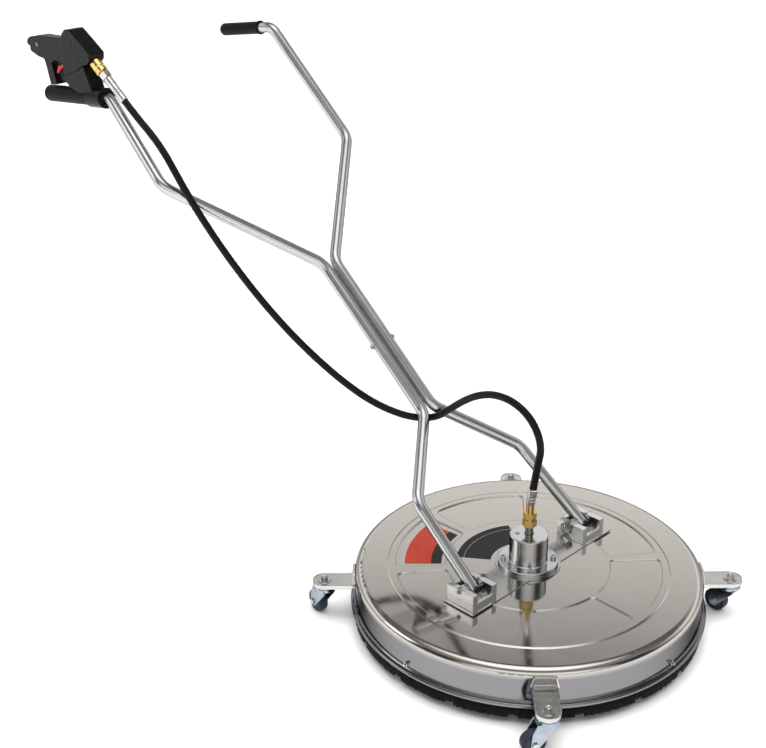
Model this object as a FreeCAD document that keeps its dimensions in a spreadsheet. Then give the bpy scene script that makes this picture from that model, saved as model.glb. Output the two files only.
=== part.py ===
import FreeCAD, Part
import Sketcher
import math, os
from FreeCAD import Vector as V, Placement, Rotation

# Flat-surface cleaner: a round stainless deck on four casters, a water-driven
# spray rotor under it, and a folding two-tube handle with a trigger gun and a
# high-pressure hose to the rotary swivel.
# Frame: millimetres, +Z up, origin on the floor under the swivel axis,
# forward (the edge that leads) is -Y, the handle leans back to +Y.

doc = FreeCAD.newDocument("SurfaceCleaner")
sheet = doc.addObject("Spreadsheet::Sheet", "dims")

DIMS = [
    # deck
    ("deck_radius", 371.0), ("lip_radius", 381.0), ("sheet_thick", 1.5), ("roll_radius", 16.3),
    ("deck_top", 130.0), ("plate_top", 132.0), ("plate_radius", 299.0), ("ring_foot", 302.0),
    ("wall_foot", 58.0), ("lip_top", 55.0), ("bead_radius", 5.0), ("centre_hole", 24.0),
    ("panel_in", 176.0), ("panel_out", 283.0), ("panel_depth", 2.4), ("panel_corner", 11.0), ("spoke_half", 10.0),
    # strap under the brackets and the swivel
    ("strap_half_len", 230.0), ("strap_front", 48.0), ("strap_back", 35.0), ("strap_thick", 2.5), ("strap_boss", 70.0),
    # skirt
    ("skirt_out", 374.5), ("skirt_thick", 7.0), ("skirt_bottom", 16.0), ("skirt_top", 44.8), ("skirt_notch", 8.0),
    ("ring_in", 350.0), ("ring_thick", 2.0), ("skirt_count", 18.0), ("skirt_gap_deg", 3.0),
    # casters
    ("caster_circle", 437.6), ("arm_width", 51.0), ("arm_top", 90.0), ("arm_thick", 4.0), ("arm_end", 25.0),
    ("flange_top", 118.0), ("wheel_radius", 25.0), ("wheel_width", 21.0), ("caster_trail", 28.0),
    ("fork_thick", 2.5), ("fork_gap", 24.0), ("axle_radius", 4.0), ("stem_radius", 5.0),
    # brackets
    ("bracket_mid", 180.0), ("bracket_width", 72.0), ("bracket_slot", 44.0), ("bracket_half_len", 36.0),
    ("bracket_top", 165.0), ("bracket_floor", 143.5), ("pivot_back", 3.0), ("pivot_high", 160.0), ("pivot_radius", 4.75),
    # handle
    ("tube_radius", 12.7), ("tube_wall", 1.8), ("tube_bend", 62.0), ("grip_radius_left", 19.4), ("grip_radius_right", 15.5),
    ("bolt_radius", 3.0), ("tube_inner", 10.9),
    # swivel
    ("swivel_radius", 41.0), ("swivel_top", 206.0), ("swivel_flange", 64.0), ("flange_thick", 9.0), ("swivel_bolt_circle", 54.0),
    ("shaft_radius", 12.0), ("arm_height", 78.0), ("spray_radius", 8.5), ("spray_half_len", 330.0),
    ("hose_radius", 8.0), ("ferrule_radius", 9.6),
    # gun
    ("gun_mid", 252.0), ("gun_half_width", 20.0), ("gun_wall", 3.0),
]
for i, (name, value) in enumerate(DIMS):
    row = i + 1
    sheet.set("A%d" % row, name)
    sheet.set("B%d" % row, repr(value))
    sheet.setAlias("B%d" % row, name)
doc.recompute()
D = {name: float(sheet.get(name)) for name, _ in DIMS}

NODES = []            # objects that are written, one file each


def val(e):
    """Value of an expression in the sheet's aliases."""
    if isinstance(e, (int, float)):
        return float(e)
    return float(reckon(e))


def reckon(text):
    """Small arithmetic reader for + - * / ( ) and aliases, used for first guesses of sketch geometry."""
    import re
    tokens = re.findall(r"dims\.[a-z_]+|[0-9.]+|[()+\-*/]", text)
    pos = [0]

    def peek():
        return tokens[pos[0]] if pos[0] < len(tokens) else None

    def take():
        t = tokens[pos[0]]
        pos[0] += 1
        return t

    def atom():
        t = take()
        if t == "(":
            v = add()
            take()
            return v
        if t == "-":
            return -atom()
        if t.startswith("dims."):
            return D[t[5:]]
        return float(t)

    def mul():
        v = atom()
        while peek() in ("*", "/"):
            if take() == "*":
                v *= atom()
            else:
                v /= atom()
        return v

    def add():
        v = mul()
        while peek() in ("+", "-"):
            if take() == "+":
                v += mul()
            else:
                v -= mul()
        return v

    return add()


def keep(obj, label):
    obj.Label = label
    NODES.append(obj)
    return obj


def origin_plane(body, role):
    for f in body.Origin.OriginFeatures:
        if f.Role == role:
            return f


def sketch(body, name, plane, verts):
    """Closed profile. verts: (x, y) or (x, y, r) where r is the radius of the arc that
    leads from this point to the next one, positive when it turns anticlockwise."""
    sk = body.newObject("Sketcher::SketchObject", name)
    sk.AttachmentSupport = [(origin_plane(body, plane), "")]
    sk.MapMode = "FlatFace"
    n = len(verts)
    pts = [(val(v[0]), val(v[1])) for v in verts]
    ends = []
    for i in range(n):
        x0, y0 = pts[i]
        x1, y1 = pts[(i + 1) % n]
        if len(verts[i]) == 2:
            sk.addGeometry(Part.LineSegment(V(x0, y0, 0), V(x1, y1, 0)), False)
            ends.append((1, 2))
        else:
            r = val(verts[i][2])
            s = 1 if r > 0 else -1
            r = abs(r)
            dx, dy = x1 - x0, y1 - y0
            d = math.hypot(dx, dy)
            hh = math.sqrt(max(r * r - d * d / 4, 0.0))
            cx, cy = (x0 + x1) / 2 - s * dy / d * hh, (y0 + y1) / 2 + s * dx / d * hh
            a0 = math.atan2(y0 - cy, x0 - cx)
            a1 = math.atan2(y1 - cy, x1 - cx)
            if s > 0:
                sk.addGeometry(Part.ArcOfCircle(Part.Circle(V(cx, cy, 0), V(0, 0, 1), r), a0, a1), False)
                ends.append((1, 2))
            else:
                sk.addGeometry(Part.ArcOfCircle(Part.Circle(V(cx, cy, 0), V(0, 0, 1), r), a1, a0), False)
                ends.append((2, 1))
    for i in range(n):
        j = (i + 1) % n
        sk.addConstraint(Sketcher.Constraint("Coincident", i, ends[i][1], j, ends[j][0]))
    for i in range(n):
        for axis, kind, k in (("x", "DistanceX", 0), ("y", "DistanceY", 1)):
            c = sk.addConstraint(Sketcher.Constraint(kind, -1, 1, i, ends[i][0], pts[i][k]))
            cname = "%s%d" % (axis, i)
            sk.renameConstraint(c, cname)
            if isinstance(verts[i][k], str):
                sk.setExpression("Constraints." + cname, verts[i][k])
        if len(verts[i]) == 3:
            c = sk.addConstraint(Sketcher.Constraint("Radius", i, abs(val(verts[i][2]))))
            sk.renameConstraint(c, "r%d" % i)
            if isinstance(verts[i][2], str):
                sk.setExpression("Constraints.r%d" % i, verts[i][2].lstrip("-"))
    return sk


def revolve(label, verts, placement=None, final=True):
    """PartDesign body: profile in the XZ plane (x = radius, y = height), turned round Z."""
    body = doc.addObject("PartDesign::Body", label + "_body")
    sk = sketch(body, label + "_profile", "XZ_Plane", verts)
    f = body.newObject("PartDesign::Revolution", label + "_turn")
    f.Profile = sk
    f.ReferenceAxis = (sk, ["V_Axis"])
    f.Angle = 360.0
    body.Tip = f
    if placement:
        body.Placement = placement
    if final:
        keep(body, label)
    else:
        body.Label = label
    return body


def pad(label, verts, height, plane="XY_Plane", placement=None, final=True, mid=False, rev=False):
    body = doc.addObject("PartDesign::Body", label + "_body")
    sk = sketch(body, label + "_profile", plane, verts)
    f = body.newObject("PartDesign::Pad", label + "_pad")
    f.Profile = sk
    if isinstance(height, str):
        f.setExpression("Length", height)
    else:
        f.Length = height
    if mid:
        if hasattr(f, "SideType"):
            try:
                f.SideType = "Symmetric"
            except Exception:
                f.Midplane = True
        else:
            f.Midplane = True
    f.Reversed = rev
    body.Tip = f
    if placement:
        body.Placement = placement
    if final:
        keep(body, label)
    else:
        body.Label = label
    return body


def prim(kind, label, props, placement=None, final=False):
    o = doc.addObject("Part::" + kind, label)
    for k, v in props.items():
        if isinstance(v, str):
            o.setExpression(k, v)
        else:
            setattr(o, k, v)
    if placement:
        o.Placement = placement
    if final:
        keep(o, label)
    else:
        o.Label = label
    return o


def cyl(label, r, length, base, direction=(0, 0, 1), final=False):
    return prim("Cylinder", label, {"Radius": r, "Height": length}, along(base, direction), final)


def along(base, direction):
    d = V(*direction)
    return Placement(V(*base), Rotation(V(0, 0, 1), d))


def box(label, corner, size, final=False):
    return prim("Box", label, {"Length": size[0], "Width": size[1], "Height": size[2]},
                Placement(V(*corner), Rotation()), final)


def hexagon(label, across, length, base, direction=(0, 0, 1), final=False):
    return prim("Prism", label, {"Polygon": 6, "Circumradius": across / math.sqrt(3.0), "Height": length},
                along(base, direction), final)


def fuse(label, shapes, final=True):
    o = doc.addObject("Part::MultiFuse", label)
    o.Shapes = shapes
    o.Refine = True
    if final:
        keep(o, label)
    return o


def cut(label, base, tool, final=True):
    o = doc.addObject("Part::Cut", label)
    o.Base = base
    if isinstance(tool, list):
        tool = tool[0] if len(tool) == 1 else fuse(label + "_tools", tool, False)
    o.Tool = tool
    o.Refine = True
    if final:
        keep(o, label)
    return o


def group(label, shapes, final=True):
    o = doc.addObject("Part::Compound", label)
    o.Links = shapes
    if final:
        keep(o, label)
    return o


def feature(label, shape, final=True, placement=None):
    o = doc.addObject("Part::Feature", label)
    o.Shape = shape
    if placement:
        o.Placement = placement
    if final:
        keep(o, label)
    else:
        o.Label = label
    return o


def polar(r, deg, z=0.0):
    a = math.radians(deg)
    return (r * math.cos(a), r * math.sin(a), z)


# ---------------------------------------------------------------- deck cover
# one spun sheet: flat centre plate, raised 2 mm over the outer band, rolled
# shoulder, straight wall, turned-out lip with a hemmed bead
t = "dims.sheet_thick"
deck_shell = revolve("deck_shell", [
    ("dims.centre_hole", "dims.plate_top"),
    ("dims.plate_radius", "dims.plate_top"),
    ("dims.ring_foot", "dims.deck_top"),
    ("dims.deck_radius - dims.roll_radius", "dims.deck_top", "-dims.roll_radius"),
    ("dims.deck_radius", "dims.deck_top - dims.roll_radius"),
    ("dims.deck_radius", "dims.wall_foot"),
    ("dims.deck_radius + 2.5", "dims.lip_top"),
    ("dims.lip_radius - dims.bead_radius", "dims.lip_top", "-dims.bead_radius"),
    ("dims.lip_radius", "dims.lip_top - dims.bead_radius", "-dims.bead_radius"),
    ("dims.lip_radius - dims.bead_radius", "dims.lip_top - 2 * dims.bead_radius"),
    ("dims.lip_radius - dims.bead_radius - 1.5", "dims.lip_top - 2 * dims.bead_radius + 1"),
    ("dims.lip_radius - dims.bead_radius - 1.5", "dims.lip_top - dims.sheet_thick"),
    ("dims.deck_radius + 1", "dims.lip_top - dims.sheet_thick"),
    ("dims.deck_radius - dims.sheet_thick", "dims.wall_foot - 1"),
    ("dims.deck_radius - dims.sheet_thick", "dims.deck_top - dims.roll_radius", "dims.roll_radius - dims.sheet_thick"),
    ("dims.deck_radius - dims.roll_radius", "dims.deck_top - dims.sheet_thick"),
    ("dims.ring_foot - 1", "dims.deck_top - dims.sheet_thick"),
    ("dims.plate_radius - 1", "dims.plate_top - dims.sheet_thick"),
    ("dims.centre_hole", "dims.plate_top - dims.sheet_thick"),
], final=False)

# six pressed panels between the two ring ribs; the strap runs over the two wide ones
PANELS = [(-137.0, -91.5), (-86.5, -42.5), (-37.0, 37.0), (42.5, 87.0), (93.0, 137.0), (143.0, 217.0)]


def panel_shape(a0, a1, grow, z0, z1, corner):
    r0, r1 = D["panel_in"] - grow, D["panel_out"] + grow
    g0, g1 = math.degrees(grow / r0), math.degrees(grow / r1)
    p = [V(*polar(r0, a0 - g0)), V(*polar(r1, a0 - g1)), V(*polar(r1, a1 + g1)), V(*polar(r0, a1 + g0))]
    m1, m0 = V(*polar(r1, (a0 + a1) / 2)), V(*polar(r0, (a0 + a1) / 2))
    w = Part.Wire([Part.LineSegment(p[0], p[1]).toShape(), Part.Arc(p[1], m1, p[2]).toShape(),
                   Part.LineSegment(p[2], p[3]).toShape(), Part.Arc(p[3], m0, p[0]).toShape()])
    s = Part.Face(w).extrude(V(0, 0, z1 - z0))
    s.translate(V(0, 0, z0))
    edges = [e for e in s.Edges if abs(e.tangentAt(e.FirstParameter).z) > 0.9]
    return s.makeFillet(corner, edges)


zt, dp, st = D["plate_top"], D["panel_depth"], D["sheet_thick"]
panel_pans = feature("panel_pans", Part.makeCompound([panel_shape(a, b, st, zt - dp - st, zt - 0.2, D["panel_corner"] + st) for a, b in PANELS]), False)


def panel_tool(a0, a1, flare):
    """A panel's recess with sloping pressed sides: the foot at its nominal size, the rim wider by the flare."""
    def rim_wire(grow, z):
        block_s = panel_shape(a0, a1, grow, z, z + 1.0, D["panel_corner"] + grow)
        low = min(block_s.Faces, key=lambda f: f.CenterOfMass.z)
        return low.OuterWire
    return Part.makeLoft([rim_wire(0.0, zt - dp), rim_wire(flare, zt), ], True, True).fuse(panel_shape(a0, a1, flare, zt, zt + 2, D["panel_corner"] + flare)).removeSplitter()


panel_cuts = feature("panel_cuts", Part.makeCompound([panel_tool(a, b, 1.8) for a, b in PANELS]), False)
deck_blank = fuse("deck_blank", [deck_shell, panel_pans], False)
holes = [cyl("deck_hole_%d" % i, 4.3, 12, polar(D["swivel_bolt_circle"], 45 + 90 * i, 125)) for i in range(4)]
for i, (sx, sy) in enumerate(((-1, -18), (-1, 18), (1, -18), (1, 18))):
    holes.append(cyl("deck_strap_hole_%d" % i, 4.3, 14, (sx * (D["bracket_mid"]), sy, 124)))
for i in range(4):
    holes.append(cyl("deck_skirt_hole_%d" % i, 2.7, 20, polar(360.0, 90 * i, 67.0), polar(1, 90 * i)))
deck_cover = cut("deck_cover", deck_blank, [panel_cuts] + holes)

# ---------------------------------------------------------------- strap
L, F, B, R = "dims.strap_half_len", "-dims.strap_front", "dims.strap_back", D["strap_boss"]
bx_f = math.sqrt(R * R - D["strap_front"] ** 2)
bx_b = math.sqrt(R * R - D["strap_back"] ** 2)
strap_plate = pad("strap_plate", [
    ("-dims.strap_half_len", "-dims.strap_front"), (-bx_f, "-dims.strap_front", "dims.strap_boss"),
    (bx_f, "-dims.strap_front"), ("dims.strap_half_len", "-dims.strap_front"),
    ("dims.strap_half_len", "dims.strap_back"), (bx_b, "dims.strap_back", "dims.strap_boss"),
    (-bx_b, "dims.strap_back"), ("-dims.strap_half_len", "dims.strap_back")],
    "dims.strap_thick", placement=Placement(V(0, 0, D["plate_top"]), Rotation()), final=False)
strap_holes = [cyl("strap_centre", 22.0, 10, (0, 0, 128))]
strap_holes += [cyl("strap_bolt_%d" % i, 4.3, 12, polar(D["swivel_bolt_circle"], 45 + 90 * i, 128)) for i in range(4)]
for i, (sx, sy) in enumerate(((-1, -18), (-1, 18), (1, -18), (1, 18))):
    strap_holes.append(cyl("strap_hole_%d" % i, 4.3, 14, (sx * D["bracket_mid"], sy, 128)))
cross_strap = cut("cross_strap", strap_plate, strap_holes)
strap_z = D["plate_top"] + D["strap_thick"]

# ---------------------------------------------------------------- labels
def sector(r0, r1, a0, a1, z0, z1, corner=3.0):
    p = [V(*polar(r0, a0)), V(*polar(r1, a0)), V(*polar(r1, a1)), V(*polar(r0, a1))]
    m1, m0 = V(*polar(r1, (a0 + a1) / 2)), V(*polar(r0, (a0 + a1) / 2))
    w = Part.Wire([Part.LineSegment(p[0], p[1]).toShape(), Part.Arc(p[1], m1, p[2]).toShape(),
                   Part.LineSegment(p[2], p[3]).toShape(), Part.Arc(p[3], m0, p[0]).toShape()])
    s = Part.Face(w).extrude(V(0, 0, z1 - z0))
    s.translate(V(0, 0, z0))
    edges = [e for e in s.Edges if abs(e.tangentAt(e.FirstParameter).z) > 0.9]
    return s.makeFillet(corner, edges)


panel_z = D["plate_top"] - D["panel_depth"]
deck_labels = feature("deck_labels", Part.makeCompound([
    sector(185, 264, 96.5, 134.5, panel_z, panel_z + 0.4),
    sector(80, 154, 56, 126, D["plate_top"], D["plate_top"] + 0.4)]))

# ---------------------------------------------------------------- skirt
# L-section ring bolted under the lip, and eighteen brush strips clamped to it
skirt_ring_turn = revolve("skirt_ring_turn", [
    ("dims.ring_in", "dims.lip_top - dims.sheet_thick - 0.2"),
    ("dims.ring_in", "dims.lip_top - dims.sheet_thick - dims.ring_thick - 0.2"),
    (365.0, "dims.lip_top - dims.sheet_thick - dims.ring_thick - 0.2"),
    (365.0, 28.0), (367.0, 28.0),
    (367.0, "dims.lip_top - dims.sheet_thick - dims.ring_thick - 0.2"),
    (374.0, "dims.lip_top - dims.sheet_thick - dims.ring_thick - 0.2"),
    (374.0, "dims.lip_top - dims.sheet_thick - 0.2"),
    (369.3, "dims.lip_top - dims.sheet_thick - 0.2"), (369.3, 73.0), (367.3, 73.0),
    (367.3, "dims.lip_top - dims.sheet_thick - 0.2")], final=False)
ring_cuts = [cyl("ring_hole_%d" % i, 2.7, 20, polar(360.0, 90 * i, 67.0), polar(1, 90 * i)) for i in range(4)]
skirt_ring = cut("skirt_ring", skirt_ring_turn, ring_cuts)


def brush(a0, a1, low0, low1):
    """One brush strip: an arc of bristle 7 mm thick whose lower edge slopes a little."""
    ro, ri = D["skirt_out"], D["skirt_out"] - D["skirt_thick"]
    zt_ = D["skirt_top"]
    p = [V(*polar(ri, a0)), V(*polar(ro, a0)), V(*polar(ro, a1)), V(*polar(ri, a1))]
    m1, m0 = V(*polar(ro, (a0 + a1) / 2)), V(*polar(ri, (a0 + a1) / 2))
    w = Part.Wire([Part.LineSegment(p[0], p[1]).toShape(), Part.Arc(p[1], m1, p[2]).toShape(),
                   Part.LineSegment(p[2], p[3]).toShape(), Part.Arc(p[3], m0, p[0]).toShape()])
    s = Part.Face(w).extrude(V(0, 0, zt_ - low0))
    s.translate(V(0, 0, low0))
    return s


strips = []
n_strip = int(D["skirt_count"])
pitch = 360.0 / n_strip
lo, notch = D["skirt_bottom"], D["skirt_notch"]
for i in range(n_strip):
    g = -164.0 + pitch * i                      # middle of this gap
    h = D["skirt_gap_deg"] / 2
    long_part = brush(g + h, g + pitch - h, lo, lo)
    short_part = brush(g + pitch - h - 0.05, g + pitch + h - 0.25, lo + notch, lo + notch)
    strips.append(long_part.fuse(short_part).removeSplitter())
skirt_brushes = feature("skirt_brushes", Part.makeCompound(strips))

skirt_bolt_parts = []
for i in range(4):
    way = polar(1, 90 * i)
    stud = cyl("skirt_stud_%d" % i, 2.5, 17.4, polar(362.8, 90 * i, 67.0), way)
    head = hexagon("skirt_head_%d" % i, 8.0, 3.6, polar(363.4, 90 * i, 67.0), way)
    nut = hexagon("skirt_nut_%d" % i, 8.0, 4.0, polar(371.1, 90 * i, 67.0), way)
    skirt_bolt_parts.append(fuse("skirt_bolt_%d" % i, [stud, head, nut], False))
skirt_bolts = group("skirt_bolts", skirt_bolt_parts)

# ---------------------------------------------------------------- casters
CORNERS = [("front_left", -135.0, 150.0), ("front_right", -45.0, 88.0), ("back_right", 45.0, 112.0), ("back_left", 135.0, 80.0)]
arm_top, arm_thick = D["arm_top"], D["arm_thick"]
bolt_parts, race_parts = [], []
race_z = arm_top - arm_thick
CASTERS = {}
for name, ang, trail_dir in CORNERS:
    place = Placement(V(0, 0, 0), Rotation(V(0, 0, 1), ang))
    # arm: x out from the deck wall, rounded end round the caster stem
    hw, rc = "dims.arm_width / 2", D["caster_circle"]
    plate = pad("arm_plate_" + name, [
        (371.6, "-dims.arm_width / 2"), ("dims.caster_circle", "-dims.arm_width / 2", "dims.arm_width / 2"),
        ("dims.caster_circle + dims.arm_width / 2", 0.0, "dims.arm_width / 2"),
        ("dims.caster_circle", "dims.arm_width / 2"), (371.6, "dims.arm_width / 2")],
        "dims.arm_thick", placement=Placement(V(0, 0, race_z), Rotation()), final=False)
    lipx = pad("arm_rim_" + name, [
        (376.0, "-dims.arm_width / 2"), ("dims.caster_circle", "-dims.arm_width / 2", "dims.arm_width / 2"),
        ("dims.caster_circle + dims.arm_width / 2", 0.0, "dims.arm_width / 2"),
        ("dims.caster_circle", "dims.arm_width / 2"), (376.0, "dims.arm_width / 2"), (376.0, "dims.arm_width / 2 - 2"),
        ("dims.caster_circle", "dims.arm_width / 2 - 2", "-(dims.arm_width / 2 - 2)"),
        ("dims.caster_circle + dims.arm_width / 2 - 2", 0.0, "-(dims.arm_width / 2 - 2)"),
        ("dims.caster_circle", "-(dims.arm_width / 2 - 2)"), (376.0, "-(dims.arm_width / 2 - 2)")],
        9.0, placement=Placement(V(0, 0, race_z - 4.0), Rotation()), final=False)
    flange = pad("arm_flange_" + name, [
        ("-(dims.arm_width / 2 + 2)", race_z + 9.0), ("dims.arm_width / 2 + 2", race_z + 9.0), ("dims.arm_width / 2 + 3", race_z + 11.0),
        ("dims.arm_width / 2 - 3", "dims.flange_top - 1.5"), ("dims.arm_width / 2 - 5", "dims.flange_top"),
        ("-(dims.arm_width / 2 - 5)", "dims.flange_top"), ("-(dims.arm_width / 2 - 3)", "dims.flange_top - 1.5"), ("-(dims.arm_width / 2 + 3)", race_z + 11.0)],
        6.0, plane="YZ_Plane", placement=Placement(V(370.0, 0, 0), Rotation()), final=False)
    pressed = pad("arm_flange_dish_" + name, [
        ("-(dims.arm_width / 2 - 3)", race_z + 14.0), ("dims.arm_width / 2 - 3", race_z + 14.0),
        ("dims.arm_width / 2 - 7", "dims.flange_top - 4"), ("-(dims.arm_width / 2 - 7)", "dims.flange_top - 4")],
        6.0, plane="YZ_Plane", placement=Placement(V(374.6, 0, 0), Rotation()), final=False)
    neck = box("arm_neck_" + name, (370.0, -D["arm_width"] / 2 + 3.0, race_z - 6.0), (3.4, D["arm_width"] - 6.0, 18.0))
    # gusset under the arm, against the wall
    gusset = pad("arm_gusset_" + name, [
        (370.0, race_z - 22.0), (376.0, race_z - 22.0), (403.0, race_z + 0.5), (370.0, race_z + 0.5)],
        4.0, plane="XZ_Plane", placement=Placement(V(0, 2, 0), Rotation()), final=False)
    boss = cyl("arm_boss_" + name, 15.0, 1.6, (rc, 0, arm_top - 0.2))
    blank = fuse("arm_blank_" + name, [plate, lipx, flange, neck, gusset, boss], False)
    stem_hole = cyl("arm_hole_" + name, 5.2, 40, (rc, 0, race_z - 10))
    curve = cyl("arm_wall_curve_" + name, 371.01, 90, (0, 0, 40))
    br = cut("bracket_raw_" + name, blank, [stem_hole, curve, pressed], False)
    doc.recompute()
    s = br.Shape.copy()
    s.transformShape(place.toMatrix(), True)
    arm = feature("caster_bracket_" + name, s)
    # wall bolts and the acorn nut on the caster stem
    x, y, _ = polar(rc, ang)
    CASTERS[name] = (x, y, ang, trail_dir)
    washer = revolve("acorn_washer_" + name, [
        (5.05, arm_top + 1.42), (11.5, arm_top + 1.42), (11.5, arm_top + 2.4), (10.9, arm_top + 3.0), (5.05, arm_top + 3.0)],
        placement=Placement(V(x, y, 0), Rotation()), final=False)
    nut_hex = hexagon("acorn_hex_" + name, 14.0, 6.5, (x, y, arm_top + 2.9))
    nut_dome = revolve("acorn_dome_" + name, [
        (0.0, arm_top + 9.0), (6.6, arm_top + 9.0, 7.6), (1.2, arm_top + 14.4), (0.0, arm_top + 14.4)],
        placement=Placement(V(x, y, 0), Rotation()), final=False)
    nut_hole = cyl("acorn_hole_" + name, 5.0, 9.5, (x, y, arm_top))
    bolt_parts.append(cut("acorn_" + name, fuse("acorn_raw_" + name, [washer, nut_hex, nut_dome], False), nut_hole, False))
    # fixed race under the arm, with the king pin as one riveted piece
    race_turn = revolve("race_" + name, [
        (0.0, race_z - 20.8), (0.0, arm_top + 9.0), (4.95, arm_top + 9.0), (4.95, race_z - 0.02), (21.6, race_z - 0.02),
        (22.6, race_z - 3.0), (22.6, race_z - 8.0), (21.2, race_z - 8.0), (19.8, race_z - 3.6), (4.95, race_z - 3.6), (4.95, race_z - 18.1), (7.0, race_z - 18.1), (7.0, race_z - 20.8)],
        placement=Placement(V(x, y, 0), Rotation()), final=False)
    race_parts.append(race_turn)
caster_nuts = group("caster_nuts", bolt_parts)
caster_races = group("caster_races", race_parts)

for name, ang, trail_dir in CORNERS:
    x, y, _, _ = CASTERS[name]
    place = Placement(V(x, y, 0), Rotation(V(0, 0, 1), trail_dir))
    tr, wr, ww = D["caster_trail"], D["wheel_radius"], D["wheel_width"]
    gap, ft = D["fork_gap"], D["fork_thick"]
    # fork: dished crown under the race and two swept cheeks down to the axle, trailing along local +x
    crown = revolve("fork_crown_" + name, [
        (5.0, race_z - 4.0), (18.4, race_z - 4.0), (19.2, race_z - 5.2), (19.6, race_z - 9.0), (21.6, race_z - 11.0), (21.6, race_z - 17.0), (5.0, race_z - 17.0)], final=False)
    cheeks = []
    for sgn in (-1, 1):
        y0 = gap / 2 if sgn > 0 else -gap / 2 - ft
        ck = pad("fork_cheek_%s_%s" % (name, "a" if sgn < 0 else "b"), [
            (-19.0, race_z - 15.0), (-18.0, race_z - 23.0), ("dims.caster_trail - 9", 18.5), ("dims.caster_trail - 4", 14.5),
            ("dims.caster_trail + 5", 14.5), ("dims.caster_trail + 9", 20.0), ("dims.caster_trail + 7", 47.0), (24.0, race_z - 15.0)],
            "dims.fork_thick", plane="XZ_Plane",
            placement=Placement(V(0, y0 + ft, 0), Rotation()), final=False)
        cheeks.append(ck)
    top = pad("fork_top_" + name, [
        (-19.0, -gap / 2 - ft), (24.0, -gap / 2 - ft), (24.0, gap / 2 + ft), (-19.0, gap / 2 + ft)],
        3.0, placement=Placement(V(0, 0, race_z - 18.0), Rotation()), final=False)
    blank = fuse("fork_blank_" + name, [crown, top] + cheeks, False)
    kp = cyl("fork_king_" + name, 5.0, 40, (0, 0, race_z - 30))
    kp2 = cyl("fork_relief_" + name, 8.0, 6.2, (0, 0, race_z - 24.2))
    ax = cyl("fork_axle_hole_" + name, 4.05, 60, (tr, -30, wr), (0, 1, 0))
    fk_raw = cut("fork_raw_" + name, blank, [kp, kp2, ax], False)
    axle_pin = cyl("axle_pin_" + name, 4.0, gap + 2 * ft + 3.0, (tr, -gap / 2 - ft - 1.0, wr), (0, 1, 0))
    axle_head = cyl("axle_head_" + name, 6.2, 2.4, (tr, -gap / 2 - ft - 2.45, wr), (0, 1, 0))
    axle_nut = hexagon("axle_nut_" + name, 11.0, 3.4, (tr, gap / 2 + ft + 0.05, wr), (0, 1, 0))
    axle_raw = fuse("axle_raw_" + name, [axle_pin, axle_head, axle_nut], False)
    hub_raw = revolve("hub_raw_" + name, [
        (4.06, -ww / 2 + 0.2), (8.5, -ww / 2 + 0.2), (16.4, -ww / 2 + 1.6),
        (16.4, ww / 2 - 1.6), (8.5, ww / 2 - 0.2), (4.06, ww / 2 - 0.2)], final=False)
    tyre_raw = revolve("tyre_raw_" + name, [
        (16.42, -ww / 2 + 1.2), (22.5, -ww / 2 + 0.6, 3.6), ("dims.wheel_radius", -ww / 2 + 5.0), ("dims.wheel_radius", ww / 2 - 5.0, 3.6),
        (22.5, ww / 2 - 0.6), (16.42, ww / 2 - 1.2)], final=False)
    doc.recompute()
    wheel_place = Placement(V(tr, 0, wr), Rotation(V(1, 0, 0), 90))
    for raw, lab, sub in ((fk_raw, "caster_fork_", None), (axle_raw, "caster_axle_", None), (hub_raw, "wheel_hub_", wheel_place), (tyre_raw, "wheel_tyre_", wheel_place)):
        s = raw.Shape.copy()
        if sub:
            s.transformShape(sub.toMatrix(), True)
        s.transformShape(place.toMatrix(), True)
        feature(lab + name, s)

# ---------------------------------------------------------------- handle brackets
BR = {}
for side, sx in (("left", -1), ("right", 1)):
    mid = D["bracket_mid"] * sx
    hw, hs, hl = D["bracket_width"] / 2, D["bracket_slot"] / 2, D["bracket_half_len"]
    blank = pad("channel_blank_" + side, [
        ("-dims.bracket_width / 2", strap_z), ("dims.bracket_width / 2", strap_z),
        ("dims.bracket_width / 2", strap_z + 6.2), ("dims.bracket_width / 2 - 1.2", strap_z + 7.2), ("dims.bracket_width / 2", strap_z + 8.2),
        ("dims.bracket_width / 2", "dims.bracket_top"),
        ("dims.bracket_slot / 2", "dims.bracket_top"), ("dims.bracket_slot / 2", "dims.bracket_floor"),
        ("-dims.bracket_slot / 2", "dims.bracket_floor"), ("-dims.bracket_slot / 2", "dims.bracket_top"),
        ("-dims.bracket_width / 2", "dims.bracket_top"),
        ("-dims.bracket_width / 2", strap_z + 8.2), ("-(dims.bracket_width / 2 - 1.2)", strap_z + 7.2), ("-dims.bracket_width / 2", strap_z + 6.2)],
        "2 * dims.bracket_half_len", plane="XZ_Plane",
        placement=Placement(V(mid, hl, 0), Rotation()), final=False)
    web = box("channel_web_" + side, (mid - hs - 0.5, 26.0, D["bracket_floor"] - 0.5), (2 * hs + 1, 7.0, 162.3 - D["bracket_floor"] + 0.5))
    raw = fuse("channel_raw_" + side, [blank, web], False)
    pin_hole = cyl("channel_pin_hole_" + side, D["pivot_radius"] + 0.05, 100, (mid - 50, D["pivot_back"], D["pivot_high"]), (1, 0, 0))
    bolts = [cyl("channel_bolt_hole_%s_%d" % (side, k), 4.3, 14, (mid, yy, strap_z - 1)) for k, yy in enumerate((-18, 18))]
    cut("channel_" + side, raw, [pin_hole] + bolts)

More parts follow.
